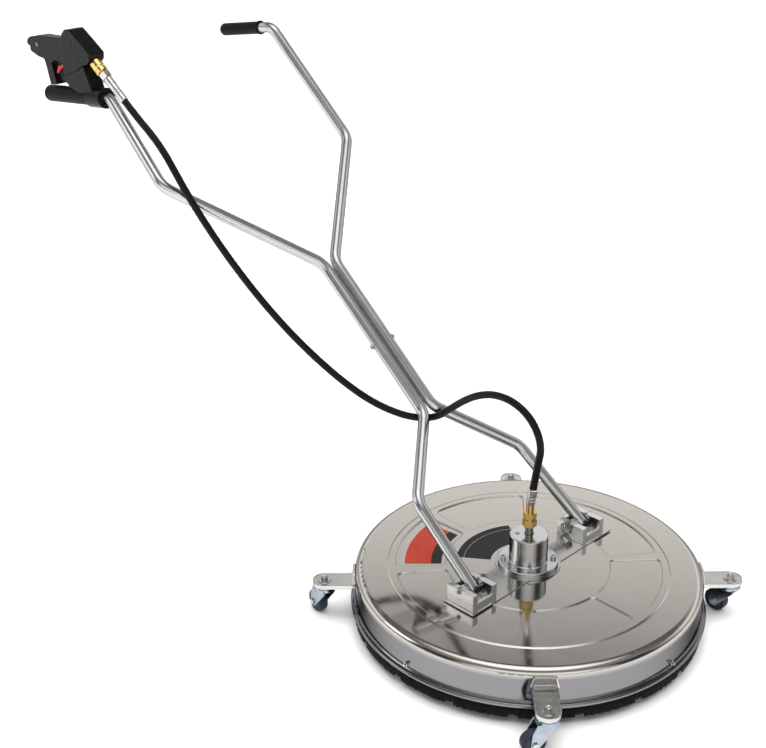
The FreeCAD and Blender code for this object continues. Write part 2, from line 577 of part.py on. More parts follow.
cb = []
for i, (sx, sy) in enumerate(((-1, -18), (-1, 18), (1, -18), (1, 18))):
    x = sx * D["bracket_mid"]
    shank = cyl("channel_shank_%d" % i, 4.0, 24.0, (x, sy, 120.5))
    head = cyl("channel_head_%d" % i, 6.5, 2.2, (x, sy, D["bracket_floor"] + 0.02))
    nut = hexagon("channel_nut_%d" % i, 13.0, 5.0, (x, sy, 123.0))
    cb.append(fuse("channel_bolt_%d" % i, [shank, head, nut], False))
channel_bolts = group("channel_bolts", cb)

# ---------------------------------------------------------------- swivel
fz = strap_z
swivel_turn = revolve("swivel_turn", [
    (21.8, fz), ("dims.swivel_flange", fz), ("dims.swivel_flange", fz + D["flange_thick"] - 1.0), ("dims.swivel_flange - 1", fz + D["flange_thick"]),
    ("dims.swivel_radius + 2", fz + D["flange_thick"], -2.0), ("dims.swivel_radius", fz + D["flange_thick"] + 2.0),
    ("dims.swivel_radius", "dims.swivel_top - 2"), ("dims.swivel_radius - 2", "dims.swivel_top"),
    (10.5, "dims.swivel_top"), (10.5, "dims.swivel_top - 14"), (16.0, "dims.swivel_top - 14"), (16.0, "dims.swivel_top - 22"),
    (21.8, "dims.swivel_top - 22")], final=False)
sw_holes = [cyl("swivel_hole_%d" % i, 4.3, 14, polar(D["swivel_bolt_circle"], 45 + 90 * i, fz - 2)) for i in range(4)]
sw_holes.append(cyl("swivel_plug_seat", 4.6, 3.0, (-18.0, 17.0, D["swivel_top"] - 2.2)))
sw_holes.append(hexagon("swivel_plug_socket", 5.0, 7.0, (-18.0, 17.0, D["swivel_top"] - 6.0)))
swivel_body = cut("swivel_body", swivel_turn, sw_holes)
sb = []
for i in range(4):
    x, y, _ = polar(D["swivel_bolt_circle"], 45 + 90 * i)
    shank = cyl("swivel_shank_%d" % i, 4.0, 24.0, (x, y, fz + D["flange_thick"] - 23.0))
    head_c = cyl("swivel_head_raw_%d" % i, 6.5, 6.0, (x, y, fz + D["flange_thick"] + 0.02))
    sock = hexagon("swivel_socket_%d" % i, 6.0, 5.0, (x, y, fz + D["flange_thick"] + 3.0))
    head = cut("swivel_head_%d" % i, head_c, sock, False)
    nut = hexagon("swivel_nut_%d" % i, 13.0, 5.0, (x, y, 122.5))
    sb.append(fuse("swivel_bolt_%d" % i, [shank, head, nut], False))
swivel_bolts = group("swivel_bolts", sb)

# rotating shaft with a bore, two ball bearings, a lip seal at the top
rotor_shaft = revolve("rotor_shaft", [
    (3.5, 96.0), (12.0, 96.0), (12.0, 134.9), (14.0, 134.9), (14.0, 138.0), (12.0, 138.0), (12.0, 183.0), (9.0, 184.0), (9.0, 190.0), (3.5, 190.0)])
bearing_low = revolve("bearing_low", [(12.02, 138.2), (21.78, 138.2), (21.78, 150.2), (12.02, 150.2)], final=False)
bearing_high = revolve("bearing_high", [(12.02, 168.0), (21.78, 168.0), (21.78, 180.0), (12.02, 180.0)], final=False)
bearing_spacer = revolve("bearing_spacer", [(18.5, 150.3), (21.7, 150.3), (21.7, 167.9), (18.5, 167.9)], final=False)
swivel_bearings = group("swivel_bearings", [bearing_low, bearing_high, bearing_spacer])
swivel_seal = revolve("swivel_seal", [(9.05, 184.4), (15.98, 184.4), (15.98, 191.6), (9.05, 191.6)])

# fixed inlet parts on top of the swivel
swivel_nipple = revolve("swivel_nipple", [
    (3.5, 193.0), (8.6, 193.0), (8.6, 205.0), (10.4, 205.0), (10.4, 206.02), (8.6, 206.02), (8.6, 226.0), (3.5, 226.0)])
top = D["swivel_top"]
hex_low = hexagon("fitting_hex_low", 27.0, 17.0, (0, 0, 226.05))
hex_high = hexagon("fitting_hex_high", 25.0, 13.0, (0, 0, 246.0))
neck = cyl("fitting_neck", 11.0, 5.0, (0, 0, 242.0))
collar = cyl("fitting_collar", 8.6, 25.0, (0, 0, 259.0))
fit_raw = fuse("fitting_raw", [hex_low, hex_high, neck, collar], False)
seat_cut = prim("Box", "fitting_seat_cut", {"Length": 60.0, "Width": 60.0, "Height": 30.0},
                Placement(V(0, 0, 278), Rotation(V(0, 0, 1), V(0, -0.1455, 0.98936))).multiply(Placement(V(-30, -30, 0.95), Rotation())))
swivel_fitting = cut("swivel_fitting", fit_raw, [cyl("fitting_bore", 3.5, 80, (0, 0, 224)), seat_cut])
# the hose end leans forward a little on a ball seat in the brass collar
lean = V(0, -0.1455, 0.98936)
seat = V(0, 0, 278.0)
fs_turn = revolve("ferrule_swivel_turn", [
    (3.5, 1.0), (8.4, 1.0), (9.6, 3.0), (9.6, 10.0), (9.1, 11.0), (9.6, 12.0), (9.6, 18.0), (9.1, 19.0), (9.6, 20.0), (9.6, 38.0), (8.9, 40.0), (3.5, 40.0)], final=False)
doc.recompute()
s = fs_turn.Shape.copy()
s.transformShape(Placement(seat, Rotation(V(0, 0, 1), lean)).toMatrix(), True)
hose_ferrule_swivel = feature("hose_ferrule_swivel", s)
sw_top = seat + lean * 40.0

# ---------------------------------------------------------------- rotor under the deck
hub_blank = prim("Cylinder", "hub_blank", {"Radius": 24.0, "Height": 34.0}, Placement(V(0, 0, 62.0), Rotation()))
ah, sr, sl = D["arm_height"], D["spray_radius"], D["spray_half_len"]
hub_cross = cyl("hub_cross", sr + 0.02, 60, (-30, 0, ah), (1, 0, 0))
hub_bore = cyl("hub_bore", 12.02, 14.0, (0, 0, 88.0))
hub_cap = prim("Cone", "hub_cap", {"Radius1": 16.0, "Radius2": 24.0, "Height": 6.0}, Placement(V(0, 0, 56.0), Rotation()))
rotor_hub = cut("rotor_hub", fuse("hub_raw", [hub_blank, hub_cap], False), [hub_cross, hub_bore])
shaft_clear = None
ends = []
arm_bar = cyl("arm_bar", "dims.spray_radius", 2 * sl, (-sl, 0, ah), (1, 0, 0))
for sgn in (-1, 1):
    ends.append(cyl("arm_end_%d" % (sgn + 1), 11.0, 26.0, (sgn * (sl - 4), 0, ah - 15.0)))
arm_raw = fuse("arm_raw", [arm_bar] + ends, False)
arm_bores = [cyl("arm_bore", 6.0, 2 * sl - 20, (-sl + 10, 0, ah), (1, 0, 0))]
for sgn in (-1, 1):
    arm_bores.append(cyl("arm_tip_bore_%d" % (sgn + 1), 4.5, 15.0, (sgn * (sl - 4), 0, ah - 16.0)))
spray_arm = cut("spray_arm", arm_raw, arm_bores)
tips = []
for sgn in (-1, 1):
    x = sgn * (sl - 4)
    stem = cyl("tip_stem_%d" % (sgn + 1), 4.48, 8.0, (x, 0, ah - 15.0))
    hexn = hexagon("tip_hex_%d" % (sgn + 1), 13.0, 8.0, (x, 0, ah - 23.05))
    slot = box("tip_slot_%d" % (sgn + 1), (x - 0.8, -6, ah - 23.5), (1.6, 12, 2.2))
    tips.append(cut("tip_%d" % (sgn + 1), fuse("tip_raw_%d" % (sgn + 1), [stem, hexn], False), slot, False))
nozzle_tips = group("nozzle_tips", tips)

# ---------------------------------------------------------------- handle tubes
def bent(points, radii):
    """Straight runs joined by tangent arcs, as one wire, and its length."""
    pts = [V(*p) for p in points]
    edges, at, total = [], pts[0], 0.0
    for i in range(1, len(pts) - 1):
        a, b, c = pts[i - 1], pts[i], pts[i + 1]
        u, w = (a - b).normalize(), (c - b).normalize()
        turn = math.pi - u.getAngle(w)
        r = radii[i - 1]
        back = r * math.tan(turn / 2)
        p0, p1 = b + u * back, b + w * back
        bis = (u + w).normalize()
        m = b + bis * (r / math.cos(turn / 2) - r)
        edges.append(Part.LineSegment(at, p0).toShape())
        edges.append(Part.Arc(p0, m, p1).toShape())
        total += (p0 - at).Length + r * turn
        at = p1
    edges.append(Part.LineSegment(at, pts[-1]).toShape())
    total += (pts[-1] - at).Length
    return Part.Wire(edges), total


def tube_along(points, radii, ro, ri=None):
    w, total = bent(points, radii)
    d = (V(*points[1]) - V(*points[0])).normalize()
    prof = Part.Wire([Part.Circle(V(*points[0]), d, ro).toShape()])
    s = w.makePipeShell([prof], True, False)
    if ri:
        prof2 = Part.Wire([Part.Circle(V(*points[0]), d, ri).toShape()])
        s = s.cut(w.makePipeShell([prof2], True, False))
    return s, total


px, py, pz = D["bracket_mid"], D["pivot_back"], D["pivot_high"]
LEFT = [(-180.0, 3.0, 160.0), (-177.0, 158.6, 291.4), (-12.75, 296.5, 389.4), (-12.75, 615.4, 657.7), (-281.5, 832.6, 851.0), (-252.0, 1050.0, 1004.0), (-252.0, 1300.0, 976.0)]
RIGHT = [(180.0, 3.0, 160.0), (161.0, 165.5, 293.5), (12.75, 296.6, 401.0), (12.75, 604.6, 660.1), (280.0, 840.0, 848.0), (262.0, 1087.0, 1085.0), (262.0, 1277.0, 1053.5)]
HANDLE = {}
for side, pts in (("left", LEFT), ("right", RIGHT)):
    d = (V(*pts[0]) - V(*pts[1])).normalize()
    p0 = V(*pts[0]) + d * 14.0
    ptsx = [tuple(p0)] + pts[1:]
    s, total = tube_along(ptsx, [50.0, 50.0, 55.0, 50.0, 42.0], D["tube_radius"], D["tube_inner"])
    # rounded foot about the pivot, and the pin's cross hole
    sx = -1 if side == "left" else 1
    foot_zone = Part.makeBox(80, 60, 60, V(sx * px - 40, py - 60, pz - 40))
    keep_round = Part.makeCylinder(14.0, 80, V(sx * px - 40, py, pz), V(1, 0, 0))
    dome = Part.makeCylinder(14.0, 80, V(sx * px - 40, py, pz), V(1, 0, 0))
    half = Part.makeBox(80, 40, 80, V(-40, -40, -40))
    half.Placement = Placement(V(sx * px, py, pz), Rotation(V(1, 0, 0), math.degrees(math.atan2(141.0, 167.0))))
    trim = half.cut(dome)
    s = s.cut(trim)
    s = s.cut(Part.makeCylinder(D["pivot_radius"] + 0.05, 100, V(sx * px - 50, py, pz), V(1, 0, 0)))
    # cross bolts through the pair of tubes
    HANDLE[side] = (s, total)
    print("tube", side, "length %.0f" % total)

run = (V(*LEFT[3]) - V(*LEFT[2])).normalize()
sep = V(*RIGHT[2]) - V(*LEFT[2])
sep = (sep - run * sep.dot(run))
print("tube pair spacing %.2f" % sep.Length)
sepn = V(sep).normalize()
bolt_geo = []
for k, f in enumerate((0.455,)):
    c = V(*LEFT[2]) + (V(*LEFT[3]) - V(*LEFT[2])) * f + sep * 0.5
    bolt_geo.append(c)
for side in ("left", "right"):
    s, total = HANDLE[side]
    for c in bolt_geo:
        s = s.cut(Part.makeCylinder(3.1, 90, c - sepn * 45, sepn))
    feature("handle_tube_" + side, s)

hw_parts = []
for k, c in enumerate(bolt_geo):
    a = c - sepn * (sep.Length / 2 + D["tube_radius"] + 0.1)
    b = c + sepn * (sep.Length / 2 + D["tube_radius"] + 0.1)
    ln = (b - a).Length
    shank = Part.makeCylinder(3.0, ln + 7.0, a - sepn * 6.5, sepn)
    head = Part.makeCylinder(5.6, 3.6, b, sepn)
    nut = Part.makeCylinder(5.8, 4.8, a - sepn * 4.8, sepn)
    hw_parts.append(feature("cross_bolt_%d" % k, shank.fuse([head, nut]).removeSplitter(), False))
for side, sx in (("left", -1), ("right", 1)):
    mid = sx * D["bracket_mid"]
    for k, (x0, x1) in enumerate(((mid - 21.7, mid - 13.9), (mid + 13.9, mid + 21.7))):
        outer = cyl("bush_outer_%s_%d" % (side, k), 9.5, x1 - x0, (x0, py, pz), (1, 0, 0))
        inner = cyl("bush_inner_%s_%d" % (side, k), 4.85, x1 - x0 + 2, (x0 - 1, py, pz), (1, 0, 0))
        hw_parts.append(cut("bush_%s_%d" % (side, k), outer, inner, False))
handle_hardware = group("handle_hardware", hw_parts)

# quick-release pivot pins, pulled out towards the swivel, each with a split ring
for side, sx in (("left", -1), ("right", 1)):
    mid = sx * D["bracket_mid"]
    inner_face = mid - sx * D["bracket_width"] / 2
    outer_face = mid + sx * D["bracket_width"] / 2
    dx = -sx
    shank = Part.makeCylinder(D["pivot_radius"] - 0.02, D["bracket_width"] + 5.0, V(outer_face + sx * 2.0, py, pz), V(dx, 0, 0))
    nose = Part.makeCone(D["pivot_radius"] - 2.0, D["pivot_radius"] - 0.02, 2.0, V(outer_face + sx * 4.0, py, pz), V(dx, 0, 0))
    head = Part.makeCylinder(7.5, 6.0, V(inner_face - sx * 0.4, py, pz), V(dx, 0, 0))
    eye = Part.makeCylinder(1.9, 30, V(inner_face - sx * 3.6, py, pz - 15), V(0, 0, 1))
    ring = Part.makeTorus(12.5, 1.3, V(0, 0, 0), V(1, 0, 0))
    ring.translate(V(inner_face - sx * 3.4, py + 7.0, pz - 9.5))
    body = shank.fuse([nose, head])
    pin = body.fuse(ring).removeSplitter()
    feature("pivot_pin_" + side, pin)

# ---------------------------------------------------------------- grips
def lerp(a, b, f):
    return V(*a) + (V(*b) - V(*a)) * f


for side, pts, rad, s0 in (("left", LEFT, D["grip_radius_left"], 70.5), ("right", RIGHT, D["grip_radius_right"], 42.0)):
    a, b = V(*pts[5]), V(*pts[6])
    d = (b - a).normalize()
    total = (b - a).Length
    length = total - s0
    prof = [(D["tube_radius"] + 0.02, 0.0), (rad - 1.0, 0.0), (rad + 1.5, 1.5), (rad + 1.5, 4.5), (rad, 6.0), (rad, length - 8.0)]
    verts = [(x, y) for x, y in prof] + [(rad, length - 8.0 + 0.01, 0), ]
    cap = length + 4.0
    g = revolve("grip_raw_" + side, [
        (D["tube_radius"] + 0.05, 0.0), (rad - 1.0, 0.0), (rad + 1.6, 1.6), (rad + 1.6, 4.4), (rad, 6.0),
        (rad, cap - rad * 0.5, rad * 0.8), (rad * 0.35, cap + 2.0), (0.0, cap + 2.0), (0.0, length + 0.1), (D["tube_radius"] + 0.05, length + 0.1)], final=False)
    doc.recompute()
    s = g.Shape.copy()
    s.transformShape(Placement(a + d * s0, Rotation(V(0, 0, 1), d)).toMatrix(), True)
    feature("grip_" + side, s)
    print("grip", side, "length %.0f" % length)

# ---------------------------------------------------------------- gun
gx = -D["gun_mid"]
hwid, wall = D["gun_half_width"], D["gun_wall"]
# side outline (y, z) of the moulded housing: front block, rear barrel and the short rear handle
OUT = [(1100, 1076), (1090, 1086), (1088, 1100), (1102, 1109), (1124, 1122), (1145, 1134), (1164, 1145), (1180, 1143),
       (1192, 1133), (1200, 1119), (1247, 1116), (1302, 1113), (1335, 1106), (1348, 1101), (1348, 1071), (1315, 1062),
       (1292, 1060), (1286, 1048), (1273, 1003), (1247, 1006), (1254, 1030), (1261, 1054), (1248, 1063), (1212, 1064), (1208, 1033),
       (1186, 1041), (1140, 1058), (1122, 1070)]


def prism_x(outline, x0, x1, corner=0.0):
    w = Part.makePolygon([V(x0, y, z) for y, z in outline] + [V(x0, outline[0][0], outline[0][1])])
    s = Part.Face(w).extrude(V(x1 - x0, 0, 0))
    if corner:
        edges = [e for e in s.Edges if abs(abs(e.tangentAt(e.FirstParameter).x) - 1) < 1e-3]
        try:
            s = s.makeFillet(corner, edges)
        except Exception:
            pass
    return s


block = prism_x(OUT, gx - hwid, gx + hwid, 2.0)
# the rear of the housing is slimmer than the front block
slim = Part.makeBox(20, 200, 200, V(gx - 30.0 - 3.0, 1201, 990))
slim2 = Part.makeBox(20, 200, 200, V(gx + 13.0, 1201, 990))
gun_solid = block.cut([slim, slim2])
CAV = [(1102, 1090), (1098, 1098), (1106, 1103), (1146, 1125), (1172, 1133), (1188, 1116), (1196, 1110), (1300, 1106), (1334, 1097), (1336, 1078), (1300, 1072), (1200, 1072), (1120, 1080)]
cavity = prism_x([p for p in CAV if p[0] < 1199] + [], gx - hwid + wall, gx + hwid - wall)
cavity = prism_x([(1102, 1090), (1098, 1098), (1106, 1103), (1146, 1125), (1172, 1133), (1186, 1116), (1192, 1108), (1192, 1072), (1120, 1080)], gx - hwid + wall, gx + hwid - wall)
cavity = cavity.fuse(prism_x([(1190, 1108), (1300, 1106), (1334, 1097), (1336, 1078), (1300, 1072), (1190, 1072)], gx - 13 + wall, gx + 13 - wall))
slot = prism_x([(1204, 1058), (1256, 1058), (1256, 1080), (1204, 1080)], gx - 6.5, gx + 6.5)
out_dir = V(0, -0.828, -0.561)
out_at = V(gx, 1106, 1084.5)
out_hole = Part.makeCylinder(11.6, 60, out_at - out_dir * 2, out_dir)
in_hole = Part.makeCylinder(9.6, 60, V(gx, 1310, 1089), V(0, 1, 0))
out_relief = Part.makeCylinder(14.8, 50, out_at + out_dir * 10.5, out_dir)
gun_solid = gun_solid.cut([cavity, slot, out_hole, out_relief, in_hole])
seam = 0.1
boxL = Part.makeBox(60, 500, 300, V(gx - 60 - seam, 950, 900))
boxR = Part.makeBox(60, 500, 300, V(gx + seam, 950, 900))
pin_y, pin_z = 1226.0, 1069.0
screw_at = [(1152, 1118, 20.0), (1124, 1080, 20.0), (1292, 1109, 13.0), (1264, 1020, 13.0)]
gl, gr = gun_solid.common(boxL), gun_solid.common(boxR)
outer = block.cut([slim, slim2])
for (yy, zz, hw_) in screw_at:
    post = Part.makeCylinder(4.4, 2 * hw_ - 2, V(gx - hw_ + 1, yy, zz), V(1, 0, 0)).common(outer)
    gl, gr = gl.fuse(post.common(boxL)), gr.fuse(post.common(boxR))
    hole_s = Part.makeCylinder(1.95, 60, V(gx - 30, yy, zz), V(1, 0, 0))
    gl, gr = gl.cut(hole_s), gr.cut(hole_s)
    gl = gl.cut(Part.makeCylinder(3.7, 2.7, V(gx - hw_ - 0.01, yy, zz), V(1, 0, 0)))
pin_hole = Part.makeCylinder(2.55, 60, V(gx - 30, pin_y, pin_z), V(1, 0, 0))
gl, gr = gl.cut(pin_hole), gr.cut(pin_hole)

# brass valve block: wide barrel in the front block, slim inlet pipe to the rear
valve = Part.makeCylinder(13.0, 72.0, V(gx, 1188, 1091), V(0, -1, 0))
valve_neck = Part.makeCylinder(8.0, 136.0, V(gx, 1322, 1089), V(0, -1, 0))
valve_out = Part.makeCylinder(11.4, 16.0, out_at - out_dir * 14, out_dir)
valve_s = valve.fuse([valve_neck, valve_out]).removeSplitter()
posts = [Part.makeCylinder(4.7, 60, V(gx - 30, q[0], q[1]), V(1, 0, 0)) for q in screw_at]
valve_s = valve_s.cut(Part.makeCylinder(3.0, 90, V(gx, 1400, 1089), V(0, -1, 0)))
valve_s = valve_s.cut(posts)
gl, gr = gl.cut(valve_s), gr.cut(valve_s)
feature("gun_shell_left", gl)
feature("gun_shell_right", gr)
feature("gun_valve_body", valve_s)

gf = []
for k, (yy, zz, hw_) in enumerate(screw_at):
    sh = Part.makeCylinder(1.9, 2 * hw_ - 6, V(gx - hw_ + 0.5, yy, zz), V(1, 0, 0))
    hd = Part.makeCylinder(3.5, 2.2, V(gx - hw_ + 0.3, yy, zz), V(1, 0, 0))
    gf.append(feature("gun_screw_%d" % k, sh.fuse(hd).removeSplitter(), False))
gf.append(feature("trigger_pivot", Part.makeCylinder(2.5, 25.6, V(gx - 12.8, pin_y, pin_z), V(1, 0, 0)), False))
gun_fasteners = group("gun_fasteners", gf)

# trigger: hangs from its pivot in front of the handle, finger face forward
TRIG = [(1214, 1076), (1236, 1077), (1242, 1062), (1244, 1046), (1240, 1030), (1232, 1016), (1222, 1014), (1226, 1030), (1227, 1044), (1220, 1056), (1214, 1062)]
trig = prism_x(TRIG, gx - 6.0, gx + 6.0, 1.2)
trig = trig.cut(Part.makeCylinder(2.55, 30, V(gx - 15, pin_y, pin_z), V(1, 0, 0)))
# safety latch: a small lever on the trigger's left cheek, turned out to block it
lp = (1236.0, 1046.0)
trig = trig.cut(Part.makeCylinder(2.05, 8, V(gx - 6.3, lp[0], lp[1]), V(1, 0, 0)))
feature("trigger", trig)
latch = Part.makeCylinder(4.6, 3.2, V(gx - 9.4, lp[0], lp[1]), V(1, 0, 0))
arm_l = prism_x([(1215, 1054), (1217.5, 1057), (1239, 1048), (1246.8, 1035.0), (1243.2, 1031.8), (1233, 1041)], gx - 9.4, gx - 6.2, 0.8)
pivot_l = Part.makeCylinder(2.0, 8.0, V(gx - 9.4, lp[0], lp[1]), V(1, 0, 0))
latch_s = latch.fuse([arm_l, pivot_l]).removeSplitter()
feature("trigger_latch", latch_s)

# mount: a cast leg under the gun's front block that clamps round the tube
a5, a6 = V(*LEFT[5]), V(*LEFT[6])
gd = (a6 - a5).normalize()
ring_o = Part.makeCylinder(23.5, 56.0, a5 + gd * 14.0, gd)
ring_i = Part.makeCylinder(12.72, 90.0, a5 - gd * 2.0, gd)
legp = [(1121.5, 1069.5), (1139.8, 1057.6), (1185.8, 1040.6), (1207.5, 1032.7), (1206, 1026), (1184, 1012), (1150, 1004), (1096, 1004), (1093, 1014)]
leg_f = prism_x(legp, gx - 18.0, gx + 18.0, 0.0)
mount_s = ring_o.fuse(leg_f)
mount_s = mount_s.cut(ring_i)
gap = Part.makeBox(60, 120, 3.0, V(gx, 1040, 0))
mount_s = mount_s.cut(Part.makeCylinder(D["grip_radius_left"] + 1.9, 260, a5 + gd * 70.05, gd))
feature("gun_mount", mount_s.removeSplitter())

# inlet plug at the back, brass outlet and steel ferrule at the front
gun_inlet = revolve("gun_inlet_raw", [
    (3.0, 0.0), (9.4, 0.0), (9.4, 26.0), (12.5, 26.5), (12.5, 33.0), (11.0, 34.5), (11.0, 40.0), (7.4, 40.0), (7.4, 24.0), (3.0, 22.0)], final=False)
gun_outlet = revolve("gun_outlet_raw", [
    (3.0, 0.0), (11.2, 0.0), (11.2, 9.0), (13.0, 10.0), (14.2, 11.5), (14.2, 29.0), (12.6, 30.5), (12.6, 33.0), (14.2, 34.5), (14.2, 43.0), (13.0, 44.5),
    (10.0, 45.0), (10.0, 48.0), (3.0, 48.0)], final=False)
adapter_hex = hexagon("adapter_hex", 24.0, 16.0, (0, 0, 48.05))
adapter_neck = cyl("adapter_neck", 10.0, 16.0, (0, 0, 64.0))
ferrule_turn = revolve("ferrule_turn", [
    (0.0, 80.0), (10.4, 80.0), (10.4, 84.0), (9.6, 85.0), (9.6, 104.0), (9.2, 105.0), (9.6, 106.0), (9.6, 112.0), (9.2, 113.0), (9.6, 114.0), (9.6, 134.0), (8.9, 136.0), (0.0, 136.0)], final=False)
ferr_raw = cut("ferrule_raw", fuse("ferrule_blank", [adapter_hex, adapter_neck, ferrule_turn], False), cyl("ferrule_bore", 3.0, 200, (0, 0, 20)), False)
doc.recompute()
s = gun_inlet.Shape.copy()
s.transformShape(Placement(V(gx, 1322.1, 1089), Rotation(V(0, 0, 1), V(0, 1, 0))).toMatrix(), True)
feature("gun_inlet", s)
o_at = out_at + out_dir * 2.05
for raw, lab in ((gun_outlet, "gun_outlet"), (ferr_raw, "hose_ferrule_gun")):
    s = raw.Shape.copy()
    s.transformShape(Placement(o_at, Rotation(V(0, 0, 1), out_dir)).toMatrix(), True)
    feature(lab, s)
h_at = o_at + out_dir * 136.0
print("hose starts", [round(v, 1) for v in h_at])

# ---------------------------------------------------------------- hose
ROUTE = [tuple(h_at),
         (-252.0, 946.4, 976.4), (-256.1, 896.9, 953.0), (-259.5, 850.6, 923.8), (-260.7, 811.6, 885.2), (-255.9, 779.6, 841.0), (-244.4, 752.6, 794.7),
         (-229.3, 728.0, 748.3), (-213.2, 702.2, 702.8), (-197.4, 673.6, 658.9), (-181.5, 642.7, 616.7), (-165.3, 609.7, 576.2), (-148.5, 574.8, 537.7),
         (-130.8, 538.2, 501.0), (-112.1, 500.3, 466.4), (-92.0, 461.1, 433.9), (-69.8, 419.8, 404.7), (-45.0, 375.6, 382.5), (-16.6, 329.9, 369.2),
         (8.1, 281.4, 377.2), (6.2, 237.7, 415.0), (2.5, 195.4, 451.4), (-0.7, 149.3, 482.1), (-2.1, 99.3, 500.3), (-3.8, 44.1, 499.5), (-5.0, -3.0, 474.0),
         (-3.5, -26.5, 425.0), (0.0, -13.7, 371.3),
         tuple(seat + lean * 40.3)]
def round_route(points):
    pts = [V(*p) for p in points]
    radii = []
    for i in range(1, len(pts) - 1):
        u, w = (pts[i - 1] - pts[i]), (pts[i + 1] - pts[i])
        turn = math.pi - u.getAngle(w)
        radii.append(0.45 * min(u.Length, w.Length) / math.tan(turn / 2))
    return radii


radii = round_route(ROUTE)
print("hose radii", [round(r) for r in radii])
hose_s, hose_len = tube_along(ROUTE, radii, D["hose_radius"])
print("hose length %.0f volume ratio %.4f" % (hose_len, hose_s.Volume / (math.pi * D["hose_radius"] ** 2 * hose_len)))
feature("hose", hose_s)

# ---------------------------------------------------------------- check and write
doc.recompute()
bad = []
for o in doc.Objects:
    if any(s in ("Invalid", "Error") for s in o.State):
        bad.append("%s: %s" % (o.Label, o.State))
seen = set()
for o in NODES:
    sh = o.Shape
    if sh.isNull() or not sh.isValid() or not sh.Solids:
        bad.append("%s: bad shape null=%s valid=%s solids=%d" % (o.Label, sh.isNull(), sh.isValid(), len(sh.Solids)))
    if o.Label in seen:
        bad.append("label twice: " + o.Label)
    seen.add(o.Label)
if bad:
    print("\n".join(bad))
    raise SystemExit("part.py: %d faults" % len(bad))
os.makedirs("parts", exist_ok=True)
for o in NODES:
    o.Shape.exportStep(os.path.join("parts", o.Label + ".step"))
print("wrote %d nodes" % len(NODES))
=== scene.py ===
import math
import random

import bpy
from mathutils import Matrix, Vector


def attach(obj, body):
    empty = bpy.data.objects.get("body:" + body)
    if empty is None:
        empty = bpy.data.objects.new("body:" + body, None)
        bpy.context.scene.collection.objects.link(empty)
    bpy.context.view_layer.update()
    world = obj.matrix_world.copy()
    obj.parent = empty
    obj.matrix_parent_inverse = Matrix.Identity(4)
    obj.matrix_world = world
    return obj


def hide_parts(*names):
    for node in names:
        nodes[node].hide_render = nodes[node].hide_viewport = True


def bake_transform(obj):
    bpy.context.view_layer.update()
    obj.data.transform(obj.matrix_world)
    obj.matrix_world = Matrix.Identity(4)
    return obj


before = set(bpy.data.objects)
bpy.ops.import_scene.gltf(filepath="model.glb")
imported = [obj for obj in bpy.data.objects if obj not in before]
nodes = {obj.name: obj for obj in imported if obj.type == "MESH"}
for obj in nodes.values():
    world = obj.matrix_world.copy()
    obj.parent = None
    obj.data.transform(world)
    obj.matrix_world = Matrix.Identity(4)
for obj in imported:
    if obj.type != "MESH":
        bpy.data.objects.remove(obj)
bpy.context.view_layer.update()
scene = bpy.context.scene
random.seed(11)

# ------------------------------------------------------------------ camera
cam_data = bpy.data.cameras.new("camera")
cam_data.sensor_width = 36.0
cam_data.lens = 64.105
cam_data.clip_start, cam_data.clip_end = 0.1, 200.0
cam = bpy.data.objects.new("camera", cam_data)
scene.collection.objects.link(cam)
ax, ay, az = Vector((0.71039, -0.70376, -0.00809)), Vector((0.30611, 0.29859, 0.90396)), Vector((-0.63376, -0.64464, 0.42755))
cam.matrix_world = Matrix.Translation((-1.9518, -1.5472, 1.7516)) @ Matrix((ax, ay, az)).transposed().to_4x4()
scene.camera = cam
scene.view_settings.view_transform = "Standard"
scene.view_settings.look = "None"


